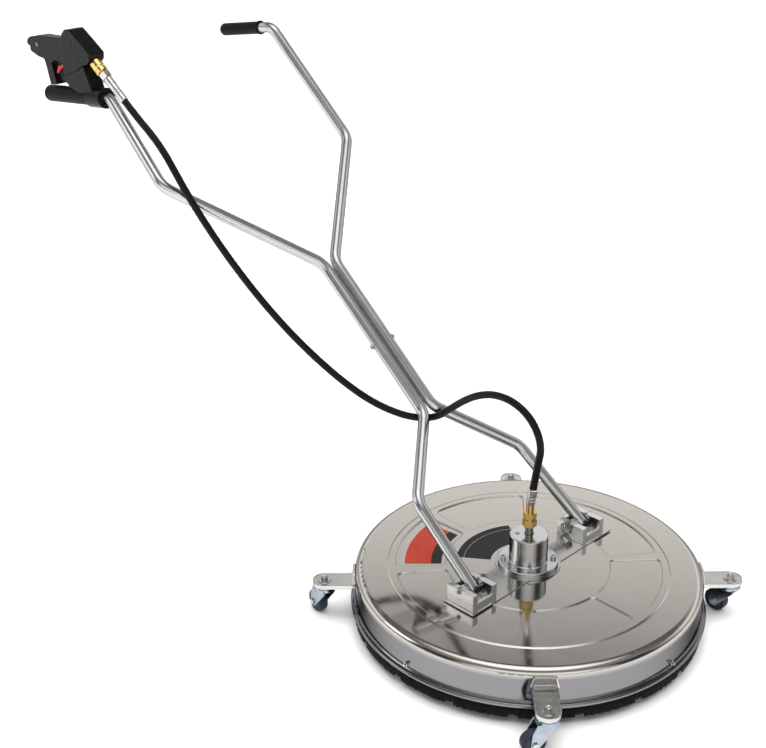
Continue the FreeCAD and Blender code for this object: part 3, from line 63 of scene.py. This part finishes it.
# ------------------------------------------------------------------ node helpers
class Tree:
    def __init__(self, name):
        self.mat = bpy.data.materials.new(name)
        self.mat.use_nodes = True
        self.t = self.mat.node_tree
        self.t.nodes.clear()
        self.out = self.t.nodes.new("ShaderNodeOutputMaterial")
        self.bsdf = self.t.nodes.new("ShaderNodeBsdfPrincipled")
        self.t.links.new(self.bsdf.outputs[0], self.out.inputs["Surface"])
        self.coord = self.t.nodes.new("ShaderNodeTexCoord").outputs["Object"]

    def link(self, a, b):
        self.t.links.new(a, b)

    def node(self, kind, **props):
        n = self.t.nodes.new(kind)
        for k, v in props.items():
            setattr(n, k, v)
        return n

    def scaled(self, scale, vec=None):
        m = self.node("ShaderNodeMapping")
        m.inputs["Scale"].default_value = scale
        self.link(vec or self.coord, m.inputs["Vector"])
        return m.outputs[0]

    def noise(self, scale, detail=3.0, rough=0.55, vec=None, dist=0.0):
        n = self.node("ShaderNodeTexNoise")
        n.inputs["Scale"].default_value = scale
        n.inputs["Detail"].default_value = detail
        n.inputs["Roughness"].default_value = rough
        n.inputs["Distortion"].default_value = dist
        self.link(vec or self.coord, n.inputs["Vector"])
        return n.outputs[0]

    def remap(self, value, a, b, c, d):
        n = self.node("ShaderNodeMapRange")
        for i, v in zip((1, 2, 3, 4), (a, b, c, d)):
            n.inputs[i].default_value = v
        self.link(value, n.inputs[0])
        return n.outputs[0]

    def mix(self, fac, c0, c1):
        n = self.node("ShaderNodeMix", data_type="RGBA")
        if isinstance(fac, float):
            n.inputs[0].default_value = fac
        else:
            self.link(fac, n.inputs[0])
        for i, c in ((6, c0), (7, c1)):
            if isinstance(c, tuple):
                n.inputs[i].default_value = (*c, 1.0)
            else:
                self.link(c, n.inputs[i])
        return n.outputs[2]

    def math(self, op, a, b=None):
        n = self.node("ShaderNodeMath", operation=op)
        for i, v in enumerate((a, b)):
            if v is None:
                continue
            if isinstance(v, (int, float)):
                n.inputs[i].default_value = v
            else:
                self.link(v, n.inputs[i])
        return n.outputs[0]

    def bump(self, height, strength, distance, normal=None):
        n = self.node("ShaderNodeBump")
        n.inputs["Strength"].default_value = strength
        n.inputs["Distance"].default_value = distance
        self.link(height, n.inputs["Height"])
        if normal is not None:
            self.link(normal, n.inputs["Normal"])
        return n.outputs[0]

    def xyz(self, vec=None):
        n = self.node("ShaderNodeSeparateXYZ")
        self.link(vec or self.coord, n.inputs[0])
        return n.outputs

    def radius(self, centre=(0.0, 0.0)):
        x, y, z = self.xyz()
        if centre != (0.0, 0.0):
            x, y = self.math("SUBTRACT", x, centre[0]), self.math("SUBTRACT", y, centre[1])
        return self.math("SQRT", self.math("ADD", self.math("MULTIPLY", x, x), self.math("MULTIPLY", y, y)))


def metal(name, colour, rough, spread=0.05, line=None, line_depth=0.00002, patch=9.0, tint=0.08, fine=900.0, fine_depth=0.00001, soil=0.0, edge=0.3, soft_edge=0.0):
    """Plated, polished or machined metal: smudged gloss, faint tool lines along one axis, tiny pits."""
    m = Tree(name)
    m.bsdf.inputs["Metallic"].default_value = 1.0
    smudge = m.noise(patch, 5.0, 0.6, dist=0.4)
    grain = m.noise(fine, 2.0, 0.5)
    dark = tuple(c * (1 - tint) for c in colour)
    lite = tuple(min(1.0, c * (1 + tint * 0.5)) for c in colour)
    col = m.mix(m.remap(smudge, 0.3, 0.7, 0.0, 1.0), dark, lite)
    if soil:
        spots = m.remap(m.noise(46.0, 6.0, 0.7), 0.60, 0.74, 0.0, soil)
        col = m.mix(spots, col, tuple(c * 0.45 for c in colour))
    m.link(col, m.bsdf.inputs["Base Color"])
    m.bsdf.inputs["Specular Tint"].default_value = (edge, edge, edge, 1.0)
    r = m.math("ADD", m.remap(smudge, 0.35, 0.72, rough - spread, rough + spread), m.remap(grain, 0.4, 0.7, 0.0, spread * 0.6))
    m.link(r, m.bsdf.inputs["Roughness"])
    soft = None
    if soft_edge:
        bev = m.node("ShaderNodeBevel", samples=6)
        bev.inputs["Radius"].default_value = soft_edge
        soft = bev.outputs[0]
    nrm = m.bump(grain, 0.35, fine_depth, soft)
    if line:
        lines = m.noise(1.0, 2.0, 0.6, vec=m.scaled(line))
        nrm = m.bump(lines, 0.5, line_depth, nrm)
    m.link(nrm, m.bsdf.inputs["Normal"])
    return m.mat


def spun(name, colour, rough, spread, centre=(0.0, 0.0), freq=900.0, depth=0.00001, vertical=None, tint=0.06, edge=0.3, round_edges=0.0, painted_wall_shade=None):
    """Metal turned or polished on a lathe: fine rings round a vertical axis; optionally a painted dark reflection, a
    darker base colour below a given height.
    """
    m = Tree(name)
    m.bsdf.inputs["Metallic"].default_value = 1.0
    rad = m.radius(centre)
    x, y, z = m.xyz()
    comb = m.node("ShaderNodeCombineXYZ")
    m.link(m.math("MULTIPLY", rad, freq), comb.inputs[0])
    m.link(m.math("MULTIPLY", z, vertical if vertical is not None else freq), comb.inputs[1])
    rings = m.noise(1.0, 2.0, 0.6, vec=comb.outputs[0])
    smudge = m.noise(7.0, 5.0, 0.62, dist=0.6)
    wipe = m.noise(34.0, 4.0, 0.7, dist=1.2)
    dark = tuple(c * (1 - tint) for c in colour)
    col = m.mix(m.remap(smudge, 0.3, 0.7, 0.0, 1.0), dark, colour)
    # painted reflection: below heights z0 to z1 the base colour blends to a dark grey, standing in for the dark band
    # the lower wall reflects
    if painted_wall_shade:
        z0, z1, painted_shade_col = painted_wall_shade
        col = m.mix(m.remap(z, z0, z1, 0.0, 1.0), painted_shade_col, col)
    m.link(col, m.bsdf.inputs["Base Color"])
    m.bsdf.inputs["Specular Tint"].default_value = (edge, edge, edge, 1.0)
    r = m.math("ADD", m.remap(smudge, 0.34, 0.7, rough - spread, rough + spread), m.remap(wipe, 0.52, 0.75, 0.0, spread * 0.9))
    m.link(r, m.bsdf.inputs["Roughness"])
    soft = None
    if round_edges:
        bev = m.node("ShaderNodeBevel", samples=6)
        bev.inputs["Radius"].default_value = round_edges
        soft = bev.outputs[0]
    m.link(m.bump(rings, 0.4, depth, m.bump(wipe, 0.15, depth * 0.7, soft)), m.bsdf.inputs["Normal"])
    return m.mat


def polymer(name, colour, rough, spread=0.08, grain=1400.0, depth=0.00004, tint=0.25, coat=0.0, dust=0.0, sheen=0.0, spec=0.10, soft_edge=0.0):
    """Moulded plastic or rubber: fine moulded grain, uneven gloss, a little dust."""
    m = Tree(name)
    patch = m.noise(14.0, 5.0, 0.6)
    g = m.noise(grain, 3.0, 0.6)
    base = m.mix(m.remap(patch, 0.3, 0.7, 0.0, 1.0), tuple(c * (1 - tint) for c in colour), tuple(min(1.0, c * (1 + tint)) for c in colour))
    if dust:
        base = m.mix(m.remap(m.noise(60.0, 6.0, 0.7), 0.52, 0.8, 0.0, dust), base, (0.30, 0.29, 0.27))
    m.link(base, m.bsdf.inputs["Base Color"])
    m.link(m.remap(patch, 0.3, 0.75, rough - spread, rough + spread), m.bsdf.inputs["Roughness"])
    soft = None
    if soft_edge:
        bev = m.node("ShaderNodeBevel", samples=4)
        bev.inputs["Radius"].default_value = soft_edge
        soft = bev.outputs[0]
    m.link(m.bump(g, 0.5, depth, soft), m.bsdf.inputs["Normal"])
    m.bsdf.inputs["Coat Weight"].default_value = coat
    m.bsdf.inputs["Specular IOR Level"].default_value = spec
    m.bsdf.inputs["Sheen Weight"].default_value = sheen
    return m.mat


# ------------------------------------------------------------------ materials
M = {}
# the deck's lower wall and the foot of its roll carry a painted dark reflection, a darker base colour below 0.107 to
# 0.121 m
M["deck"] = spun("deck_mirror_steel", (0.60, 0.575, 0.54), 0.095, 0.035, freq=1300.0, depth=0.000004, tint=0.06, edge=0.22, round_edges=0.0030, painted_wall_shade=(0.107, 0.121, (0.255, 0.252, 0.264)))
M["strap"] = metal("strap_steel", (0.58, 0.57, 0.55), 0.13, 0.04, line=(40.0, 900.0, 40.0), line_depth=0.000010)
M["bracket"] = metal("caster_bracket_steel", (0.66, 0.655, 0.64), 0.14, 0.06, line=(300.0, 300.0, 30.0), patch=20.0, tint=0.14, soil=0.25, edge=0.2, soft_edge=0.0018)
M["zinc"] = metal("caster_zinc", (0.43, 0.49, 0.56), 0.2, 0.08, patch=40.0, tint=0.22, fine=700.0, fine_depth=0.00002, soil=0.3, edge=0.2, soft_edge=0.0014)
M["fastener"] = metal("fastener_steel", (0.68, 0.68, 0.67), 0.2, 0.06, patch=60.0, tint=0.18, soil=0.35)
M["alu"] = metal("machined_aluminium", (0.80, 0.795, 0.785), 0.17, 0.05, patch=24.0, tint=0.07, edge=0.15, soft_edge=0.0010)
M["swivel"] = spun("swivel_aluminium", (0.74, 0.75, 0.76), 0.16, 0.04, freq=1500.0, depth=0.000012, vertical=1500.0, tint=0.05, edge=0.05, round_edges=0.0012)
M["brass"] = metal("brass", (0.86, 0.62, 0.24), 0.16, 0.07, patch=55.0, tint=0.22, fine=800.0, fine_depth=0.00002, soil=0.3)
M["dark_steel"] = metal("dark_steel", (0.30, 0.295, 0.29), 0.3, 0.1, patch=40.0, tint=0.25, soil=0.3)
M["tube"] = metal("tube_zinc", (0.58, 0.585, 0.595), 0.24, 0.035, patch=16.0, tint=0.06, fine=500.0, fine_depth=0.000004, soil=0.05, edge=0.08)
M["grip"] = polymer("black_grip", (0.0042, 0.0042, 0.0045), 0.55, 0.1, grain=900.0, depth=0.00012, dust=0.02, sheen=0.0)
M["gun"] = polymer("gun_plastic", (0.0034, 0.0034, 0.0036), 0.32, 0.09, grain=1700.0, depth=0.00006, dust=0.01, spec=0.13, soft_edge=0.0025)
M["trigger"] = polymer("trigger_plastic", (0.008, 0.008, 0.0085), 0.42, 0.08, grain=1700.0, depth=0.00005)
M["red"] = polymer("latch_red", (0.55, 0.02, 0.05), 0.32, 0.08, grain=900.0, depth=0.00003, tint=0.12, coat=0.3)
M["bristle"] = polymer("bristle_black", (0.006, 0.006, 0.006), 0.6, 0.12, grain=2500.0, depth=0.00004, dust=0.02)
M["tyre"] = polymer("tyre_rubber", (0.030, 0.034, 0.046), 0.5, 0.12, grain=900.0, depth=0.0001, dust=0.10)
M["hub"] = polymer("hub_nylon", (0.055, 0.06, 0.075), 0.42, 0.1, grain=1200.0, depth=0.00006, dust=0.08)
M["black_screw"] = metal("blackened_screw", (0.06, 0.06, 0.062), 0.35, 0.1, patch=60.0)
M["seal"] = polymer("seal_rubber", (0.02, 0.02, 0.02), 0.6, 0.1)

# hose cover: black rubber with the print of the cloth wrap it was cured in
h = Tree("hose_rubber")
wrap = h.noise(1.0, 2.0, 0.5, vec=h.scaled((1500.0, 1500.0, 1500.0)))
wave = h.node("ShaderNodeTexWave", wave_type="BANDS", bands_direction="DIAGONAL")
wave.inputs["Scale"].default_value = 260.0
wave.inputs["Distortion"].default_value = 1.5
h.link(h.coord, wave.inputs["Vector"])
scuff = h.noise(30.0, 6.0, 0.7)
h.link(h.mix(h.remap(scuff, 0.55, 0.8, 0.0, 0.5), (0.0035, 0.0035, 0.0038), (0.012, 0.0118, 0.0115)), h.bsdf.inputs["Base Color"])
h.link(h.remap(scuff, 0.35, 0.75, 0.34, 0.52), h.bsdf.inputs["Roughness"])
h.link(h.bump(wave.outputs[0], 0.35, 0.00012, h.bump(wrap, 0.4, 0.0001)), h.bsdf.inputs["Normal"])
h.bsdf.inputs["Specular IOR Level"].default_value = 0.16
M["hose"] = h.mat

# printed labels, plain colours only: an orange-red sector with a black inner band, and a black disc sector
lb = Tree("label_film")
rad = lb.radius()
x, y, z = lb.xyz()
outer = lb.math("GREATER_THAN", rad, 0.170)
orange = lb.mix(lb.remap(lb.noise(26.0, 4.0, 0.6), 0.3, 0.7, 0.0, 1.0), (0.36, 0.030, 0.014), (0.44, 0.042, 0.019))
blackish = lb.mix(lb.remap(lb.noise(40.0, 4.0, 0.6), 0.3, 0.7, 0.0, 1.0), (0.005, 0.005, 0.0055), (0.009, 0.009, 0.0095))
band = lb.math("LESS_THAN", rad, 0.2075)
sector_col = lb.mix(band, orange, blackish)
ring = lb.math("MULTIPLY", lb.math("GREATER_THAN", rad, 0.1375), lb.math("LESS_THAN", rad, 0.1385))
disc_col = lb.mix(ring, blackish, (0.30, 0.30, 0.30))
lb.link(lb.mix(outer, disc_col, sector_col), lb.bsdf.inputs["Base Color"])
lb.link(lb.remap(lb.noise(18.0, 5.0, 0.65), 0.35, 0.7, 0.22, 0.36), lb.bsdf.inputs["Roughness"])
lb.link(lb.bump(lb.noise(300.0, 3.0, 0.5), 0.2, 0.00003), lb.bsdf.inputs["Normal"])
lb.bsdf.inputs["Coat Weight"].default_value = 0.02
lb.bsdf.inputs["Specular IOR Level"].default_value = 0.18
M["label"] = lb.mat


def pick(n):
    if n == "deck_cover":
        return "deck"
    if n == "cross_strap":
        return "strap"
    if n == "deck_labels":
        return "label"
    if n == "skirt_ring":
        return "dark_steel"
    if n == "skirt_brushes":
        return "bristle"
    if n.startswith("caster_bracket"):
        return "bracket"
    if n.startswith("caster_fork") or n == "caster_races":
        return "zinc"
    if n.startswith("wheel_tyre"):
        return "tyre"
    if n.startswith("wheel_hub"):
        return "hub"
    if n.startswith("channel_") and n != "channel_bolts":
        return "alu"
    if n == "swivel_body":
        return "swivel"
    if n in ("swivel_fitting", "gun_outlet", "gun_valve_body", "nozzle_tips"):
        return "brass"
    if n in ("swivel_nipple", "rotor_shaft", "swivel_bearings"):
        return "dark_steel"
    if n in ("rotor_hub", "spray_arm"):
        return "strap"
    if n.startswith("pivot_pin"):
        return "dark_steel"
    if n.startswith("handle_tube"):
        return "tube"
    if n.startswith("grip"):
        return "grip"
    if n.startswith("gun_shell") or n == "gun_mount":
        return "gun"
    if n == "trigger":
        return "trigger"
    if n == "trigger_latch":
        return "red"
    if n == "hose":
        return "hose"
    if n == "swivel_seal":
        return "seal"
    if n in ("gun_fasteners", "gun_inlet"):
        return "black_screw"
    return "fastener"


for name, o in nodes.items():
    mat = M[pick(name)]
    if not o.material_slots:
        o.data.materials.append(mat)
    for s in o.material_slots:
        s.material = mat


def new_mesh(name, verts, faces, mat, body, smooth=True, bevel=0.0):
    me = bpy.data.meshes.new(name)
    me.from_pydata([tuple(v) for v in verts], [], faces)
    me.validate()
    me.update()
    for p in me.polygons:
        p.use_smooth = smooth
    me.materials.append(mat)
    o = bpy.data.objects.new(name, me)
    scene.collection.objects.link(o)
    if bevel:
        b = o.modifiers.new("edge", "BEVEL")
        b.width, b.segments, b.limit_method = bevel, 2, "ANGLE"
    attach(o, body)
    return o


# ------------------------------------------------------------------ hose
ROUTE = [
    (-252.0, 991.66, 1007.05), (-252.0, 946.4, 976.4), (-256.1, 896.9, 953.0), (-259.5, 850.6, 923.8), (-260.7, 811.6, 885.2), (-255.9, 779.6, 841.0),
    (-244.4, 752.6, 794.7), (-229.3, 728.0, 748.3), (-213.2, 702.2, 702.8), (-197.4, 673.6, 658.9), (-181.5, 642.7, 616.7), (-165.3, 609.7, 576.2),
    (-148.5, 574.8, 537.7), (-130.8, 538.2, 501.0), (-112.1, 500.3, 466.4), (-92.0, 461.1, 433.9), (-69.8, 419.8, 404.7), (-45.0, 375.6, 382.5),
    (-16.6, 329.9, 369.2), (8.1, 281.4, 377.2), (6.2, 237.7, 415.0), (2.5, 195.4, 451.4), (-0.7, 149.3, 482.1), (-2.1, 99.3, 500.3), (-3.8, 44.1, 499.5),
    (-5.0, -3.0, 474.0), (-3.5, -26.5, 425.0), (0.0, -13.7, 371.3), (0.0, -5.82, 317.574)]
cu = bpy.data.curves.new("hose_line", "CURVE")
cu.dimensions = "3D"
sp = cu.splines.new("NURBS")
sp.points.add(len(ROUTE) - 1)
for p, q in zip(sp.points, ROUTE):
    p.co = (q[0] / 1000, q[1] / 1000, q[2] / 1000, 1.0)
sp.order_u = 3
sp.use_endpoint_u = True
sp.resolution_u = 12
bare = bpy.data.objects.new("hose_bare", cu)
line_mesh = bpy.data.meshes.new_from_object(bare)
line = [Vector(v.co) for v in line_mesh.vertices]
bpy.data.objects.remove(bare)
bpy.data.meshes.remove(line_mesh)
HOSE_R, HOSE_N = 0.008, 20
verts, faces = [], []
side = None
for i, p in enumerate(line):
    t = (line[min(i + 1, len(line) - 1)] - line[max(i - 1, 0)]).normalized()
    side = (Vector((1, 0, 0)) if side is None else side)
    side = (side - t * side.dot(t)).normalized()
    up = t.cross(side)
    for k in range(HOSE_N):
        a = math.tau * k / HOSE_N
        verts.append(p + (side * math.cos(a) + up * math.sin(a)) * HOSE_R)
for i in range(len(line) - 1):
    for k in range(HOSE_N):
        k2 = (k + 1) % HOSE_N
        faces.append((i * HOSE_N + k, i * HOSE_N + k2, (i + 1) * HOSE_N + k2, (i + 1) * HOSE_N + k))
faces.append(tuple(reversed(range(HOSE_N))))
faces.append(tuple(range((len(line) - 1) * HOSE_N, len(line) * HOSE_N)))
me = bpy.data.meshes.new("hose_cover")
me.from_pydata([tuple(v) for v in verts], [], faces)
me.update()
for poly in me.polygons:
    poly.use_smooth = len(poly.vertices) == 4
me.materials.append(M["hose"])
hose = bpy.data.objects.new("hose_cover", me)
scene.collection.objects.link(hose)
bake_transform(hose)
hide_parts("hose")

# ------------------------------------------------------------------ brush skirt
# tufts of bristle in two rows round the ring, shorter at the eighteen gaps
verts, faces = [], []


def tuft(r, ang, r0, r1, z_top, z_low, lean):
    base = len(verts)
    ca, sa = math.cos(ang), math.sin(ang)
    tx, ty = -sa, ca
    sides = 6
    spin = random.random() * 1.0
    for z_, rr, sh in ((z_top, r0, 0.0), ((z_top + z_low) * 0.5, (r0 + r1) * 0.5, lean * 0.35), (z_low, r1, lean)):
        for k in range(sides):
            a = spin + k * math.tau / sides
            u, w = rr * math.cos(a), rr * math.sin(a)
            verts.append((ca * (r + u) + tx * (w + sh), sa * (r + u) + ty * (w + sh), z_))
    for lvl in range(2):
        for k in range(sides):
            k2 = (k + 1) % sides
            a, b = base + lvl * sides + k, base + lvl * sides + k2
            faces.append((a, a + sides, b + sides, b))
    faces.append(tuple(base + k for k in range(sides)))
    faces.append(tuple(base + 2 * sides + k for k in reversed(range(sides))))


def low_edge(deg):
    """Height of the brush's lower edge at this angle, in metres."""
    g = (deg + 164.0) % 20.0
    gap = min(g, 20.0 - g)
    return 0.0245 if gap < 1.45 else 0.0172


steps = 760
for row, r in ((0, 0.3729), (1, 0.3696)):
    for i in range(steps):
        deg = 360.0 * (i + 0.5 * row) / steps
        z = low_edge(deg) + random.uniform(-0.0009, 0.0016)
        tuft(r + random.uniform(-0.0002, 0.0002), math.radians(deg), 0.00165, 0.00150, 0.0446, z, random.uniform(-0.0009, 0.0009))
# a solid core between the rows, so no light comes through
core = len(verts)
seg = 720
for i in range(seg):
    deg = 360.0 * i / seg
    a = math.radians(deg)
    z = low_edge(deg) + 0.003
    for r, zz in ((0.3702, 0.0447), (0.3724, 0.0447), (0.3724, z), (0.3702, z)):
        verts.append((r * math.cos(a), r * math.sin(a), zz))
for i in range(seg):
    a, b = core + 4 * i, core + 4 * ((i + 1) % seg)
    for k in range(4):
        faces.append((a + k, b + k, b + (k + 1) % 4, a + (k + 1) % 4))
brush = new_mesh("skirt_bristles", verts, faces, M["bristle"], "deck", smooth=True)
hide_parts("skirt_brushes")


# ------------------------------------------------------------------ gun details
def block(verts, faces, corner, ex, ey, ez):
    """Box from a corner and three edge vectors."""
    b = len(verts)
    c = Vector(corner)
    for k in range(8):
        verts.append(tuple(c + (Vector(ex) if k & 1 else Vector()) + (Vector(ey) if k & 2 else Vector()) + (Vector(ez) if k & 4 else Vector())))
    for f in ((0, 2, 3, 1), (4, 5, 7, 6), (0, 1, 5, 4), (2, 6, 7, 3), (0, 4, 6, 2), (1, 3, 7, 5)):
        faces.append(tuple(b + i for i in f))


v, f = [], []
d = Vector((0, 62, 36)).normalized()
nrm = Vector((0, -d.z, d.y))
for k, w in ((0, 0.0030), (1, 0.0016), (2, 0.0016), (3, 0.0030)):
    p = Vector((-0.2670 + 0.0090 * k, 1.1042, 1.1102)) - nrm * 0.0006
    block(v, f, p, (w, 0, 0), d * 0.066, nrm * 0.0018)
new_mesh("gun_ribs", v, f, M["gun"], "handle", smooth=False, bevel=0.0003)


def disc_x(name, x0, x1, y, z, r, mat, body, dish=0.0, sides=40):
    v, f = [], []
    rings = [(x0, r), (x1 + (x0 - x1) * 0.25, r), (x1, r * 0.9), (x1, r * 0.5), (x1 + dish, r * 0.42)]
    for xx, rr in rings:
        for k in range(sides):
            a = math.tau * k / sides
            v.append((xx, y + rr * math.cos(a), z + rr * math.sin(a)))
    for j in range(len(rings) - 1):
        for k in range(sides):
            k2 = (k + 1) % sides
            f.append((j * sides + k, j * sides + k2, (j + 1) * sides + k2, (j + 1) * sides + k))
    f.append(tuple(range(sides)))
    f.append(tuple(reversed(range((len(rings) - 1) * sides, len(rings) * sides))))
    return new_mesh(name, v, f, mat, body, smooth=False, bevel=0.0002)


disc_x("gun_cap", -0.2649, -0.2668, 1.3150, 1.0900, 0.0050, M["dark_steel"], "handle", dish=0.0007)

# ------------------------------------------------------------------ floor and light
fl = bpy.data.meshes.new("floor")
S = 60.0
fl.from_pydata([(-S, -S, -0.0004), (S, -S, -0.0004), (S, S, -0.0004), (-S, S, -0.0004)], [], [(0, 1, 2, 3)])
floor = bpy.data.objects.new("floor", fl)
scene.collection.objects.link(floor)
fm = Tree("floor_pale")
fm.bsdf.inputs["Base Color"].default_value = (0.93, 0.93, 0.93, 1.0)
fm.bsdf.inputs["Roughness"].default_value = 0.85
fm.bsdf.inputs["Specular IOR Level"].default_value = 0.1
fl.materials.append(fm.mat)
bd = bpy.data.meshes.new("backdrop")
ring = 64
bv = [(45 * math.cos(math.tau * k / ring), 45 * math.sin(math.tau * k / ring), zz) for zz in (-1.0, 60.0) for k in range(ring)]
bd.from_pydata(bv, [], [(k, (k + 1) % ring, ring + (k + 1) % ring, ring + k) for k in range(ring)])
backdrop = bpy.data.objects.new("backdrop", bd)
scene.collection.objects.link(backdrop)
bm_ = bpy.data.materials.new("backdrop_pale")
bm_.use_nodes = True
bt = bm_.node_tree
bt.nodes.clear()
be = bt.nodes.new("ShaderNodeEmission")
be.inputs["Color"].default_value = (1.0, 1.0, 1.0, 1.0)
bt.links.new(be.outputs[0], bt.nodes.new("ShaderNodeOutputMaterial").inputs["Surface"])
bd.materials.append(bm_)
backdrop.visible_diffuse = backdrop.visible_glossy = backdrop.visible_transmission = backdrop.visible_shadow = False

world = bpy.data.worlds.new("studio")
scene.world = world
world.use_nodes = True
wt = world.node_tree
wt.nodes.clear()
wout = wt.nodes.new("ShaderNodeOutputWorld")
bg = wt.nodes.new("ShaderNodeBackground")
wt.links.new(bg.outputs[0], wout.inputs[0])
tc = wt.nodes.new("ShaderNodeTexCoord")
sx = wt.nodes.new("ShaderNodeSeparateXYZ")
wt.links.new(tc.outputs["Generated"], sx.inputs[0])


def wramp(value, stops):
    r = wt.nodes.new("ShaderNodeValToRGB")
    wt.links.new(value, r.inputs[0])
    e = r.color_ramp.elements
    e[0].position, e[1].position = stops[0][0], stops[-1][0]
    for k, (pos, g) in enumerate(stops):
        el = e[0] if k == 0 else (e[len(e) - 1] if k == len(stops) - 1 else e.new(pos))
        el.color = (g, g * 0.992, g * 0.978, 1)
    return r.outputs[0]


def wmath(op, p, q):
    n = wt.nodes.new("ShaderNodeMath")
    n.operation = op
    for i, v in enumerate((p, q)):
        if isinstance(v, (int, float)):
            n.inputs[i].default_value = v
        else:
            wt.links.new(v, n.inputs[i])
    return n.outputs[0]


# far side of the studio: a bright lower wall, a dark gap, then the overhead softbox
far_side = wramp(sx.outputs["Z"], [(0.0, 0.40), (0.30, 0.50), (0.44, 0.98), (0.495, 0.90), (0.55, 0.60), (0.585, 0.40), (0.625, 0.17), (0.70, 0.10), (0.84, 0.16), (0.94, 1.1), (1.0, 1.5)])
# near side: mostly black cloth behind the camera, with a strip of light high up
near_dark = wramp(sx.outputs["Z"], [(0.0, 0.16), (0.20, 0.05), (0.45, 0.04), (0.60, 0.06), (0.68, 0.28), (0.78, 0.26), (0.86, 0.10), (0.94, 1.1), (1.0, 1.5)])
near_box = wramp(sx.outputs["Z"], [(0.0, 0.30), (0.18, 0.75), (0.30, 1.0), (0.52, 1.0), (0.60, 0.30), (0.75, 0.10), (0.86, 0.10), (0.94, 1.1), (1.0, 1.5)])
facing = wmath("ADD", wmath("MULTIPLY", sx.outputs["X"], 0.63), wmath("MULTIPLY", sx.outputs["Y"], 0.65))
box = wt.nodes.new("ShaderNodeMapRange")
box.inputs[1].default_value, box.inputs[2].default_value = -0.52, -0.76
wt.links.new(facing, box.inputs[0])
near_mix = wt.nodes.new("ShaderNodeMix")
near_mix.data_type = "RGBA"
wt.links.new(box.outputs[0], near_mix.inputs[0])
wt.links.new(near_dark, near_mix.inputs[6])
wt.links.new(near_box, near_mix.inputs[7])
side = wt.nodes.new("ShaderNodeMapRange")
side.inputs[1].default_value, side.inputs[2].default_value = -0.25, 0.30
wt.links.new(facing, side.inputs[0])
mixw = wt.nodes.new("ShaderNodeMix")
mixw.data_type = "RGBA"
wt.links.new(side.outputs[0], mixw.inputs[0])
wt.links.new(near_mix.outputs[2], mixw.inputs[6])
wt.links.new(far_side, mixw.inputs[7])
wt.links.new(mixw.outputs[2], bg.inputs["Color"])
bg.inputs["Strength"].default_value = 1.35

sun = bpy.data.lights.new("overhead", "SUN")
sun.energy, sun.angle, sun.color = 2.6, math.radians(60), (1.0, 0.995, 0.985)
so = bpy.data.objects.new("overhead", sun)
scene.collection.objects.link(so)
so.rotation_euler = (math.radians(8), math.radians(-8), 0)
so.visible_glossy = False


def softbox(name, at, to, size, size_y, power, colour=(1, 1, 1)):
    ld = bpy.data.lights.new(name, "AREA")
    ld.shape = "RECTANGLE"
    ld.size, ld.size_y, ld.energy, ld.color = size, size_y, power, colour
    lo = bpy.data.objects.new(name, ld)
    scene.collection.objects.link(lo)
    lo.location = at
    lo.rotation_mode = "QUATERNION"
    lo.rotation_quaternion = (Vector(to) - Vector(at)).to_track_quat("-Z", "Y")
    return lo


softbox("key", (-2.5, 2.4, 1.8), (0.0, 0.0, 0.3), 1.4, 1.2, 9.0, (0.99, 0.995, 1.0))
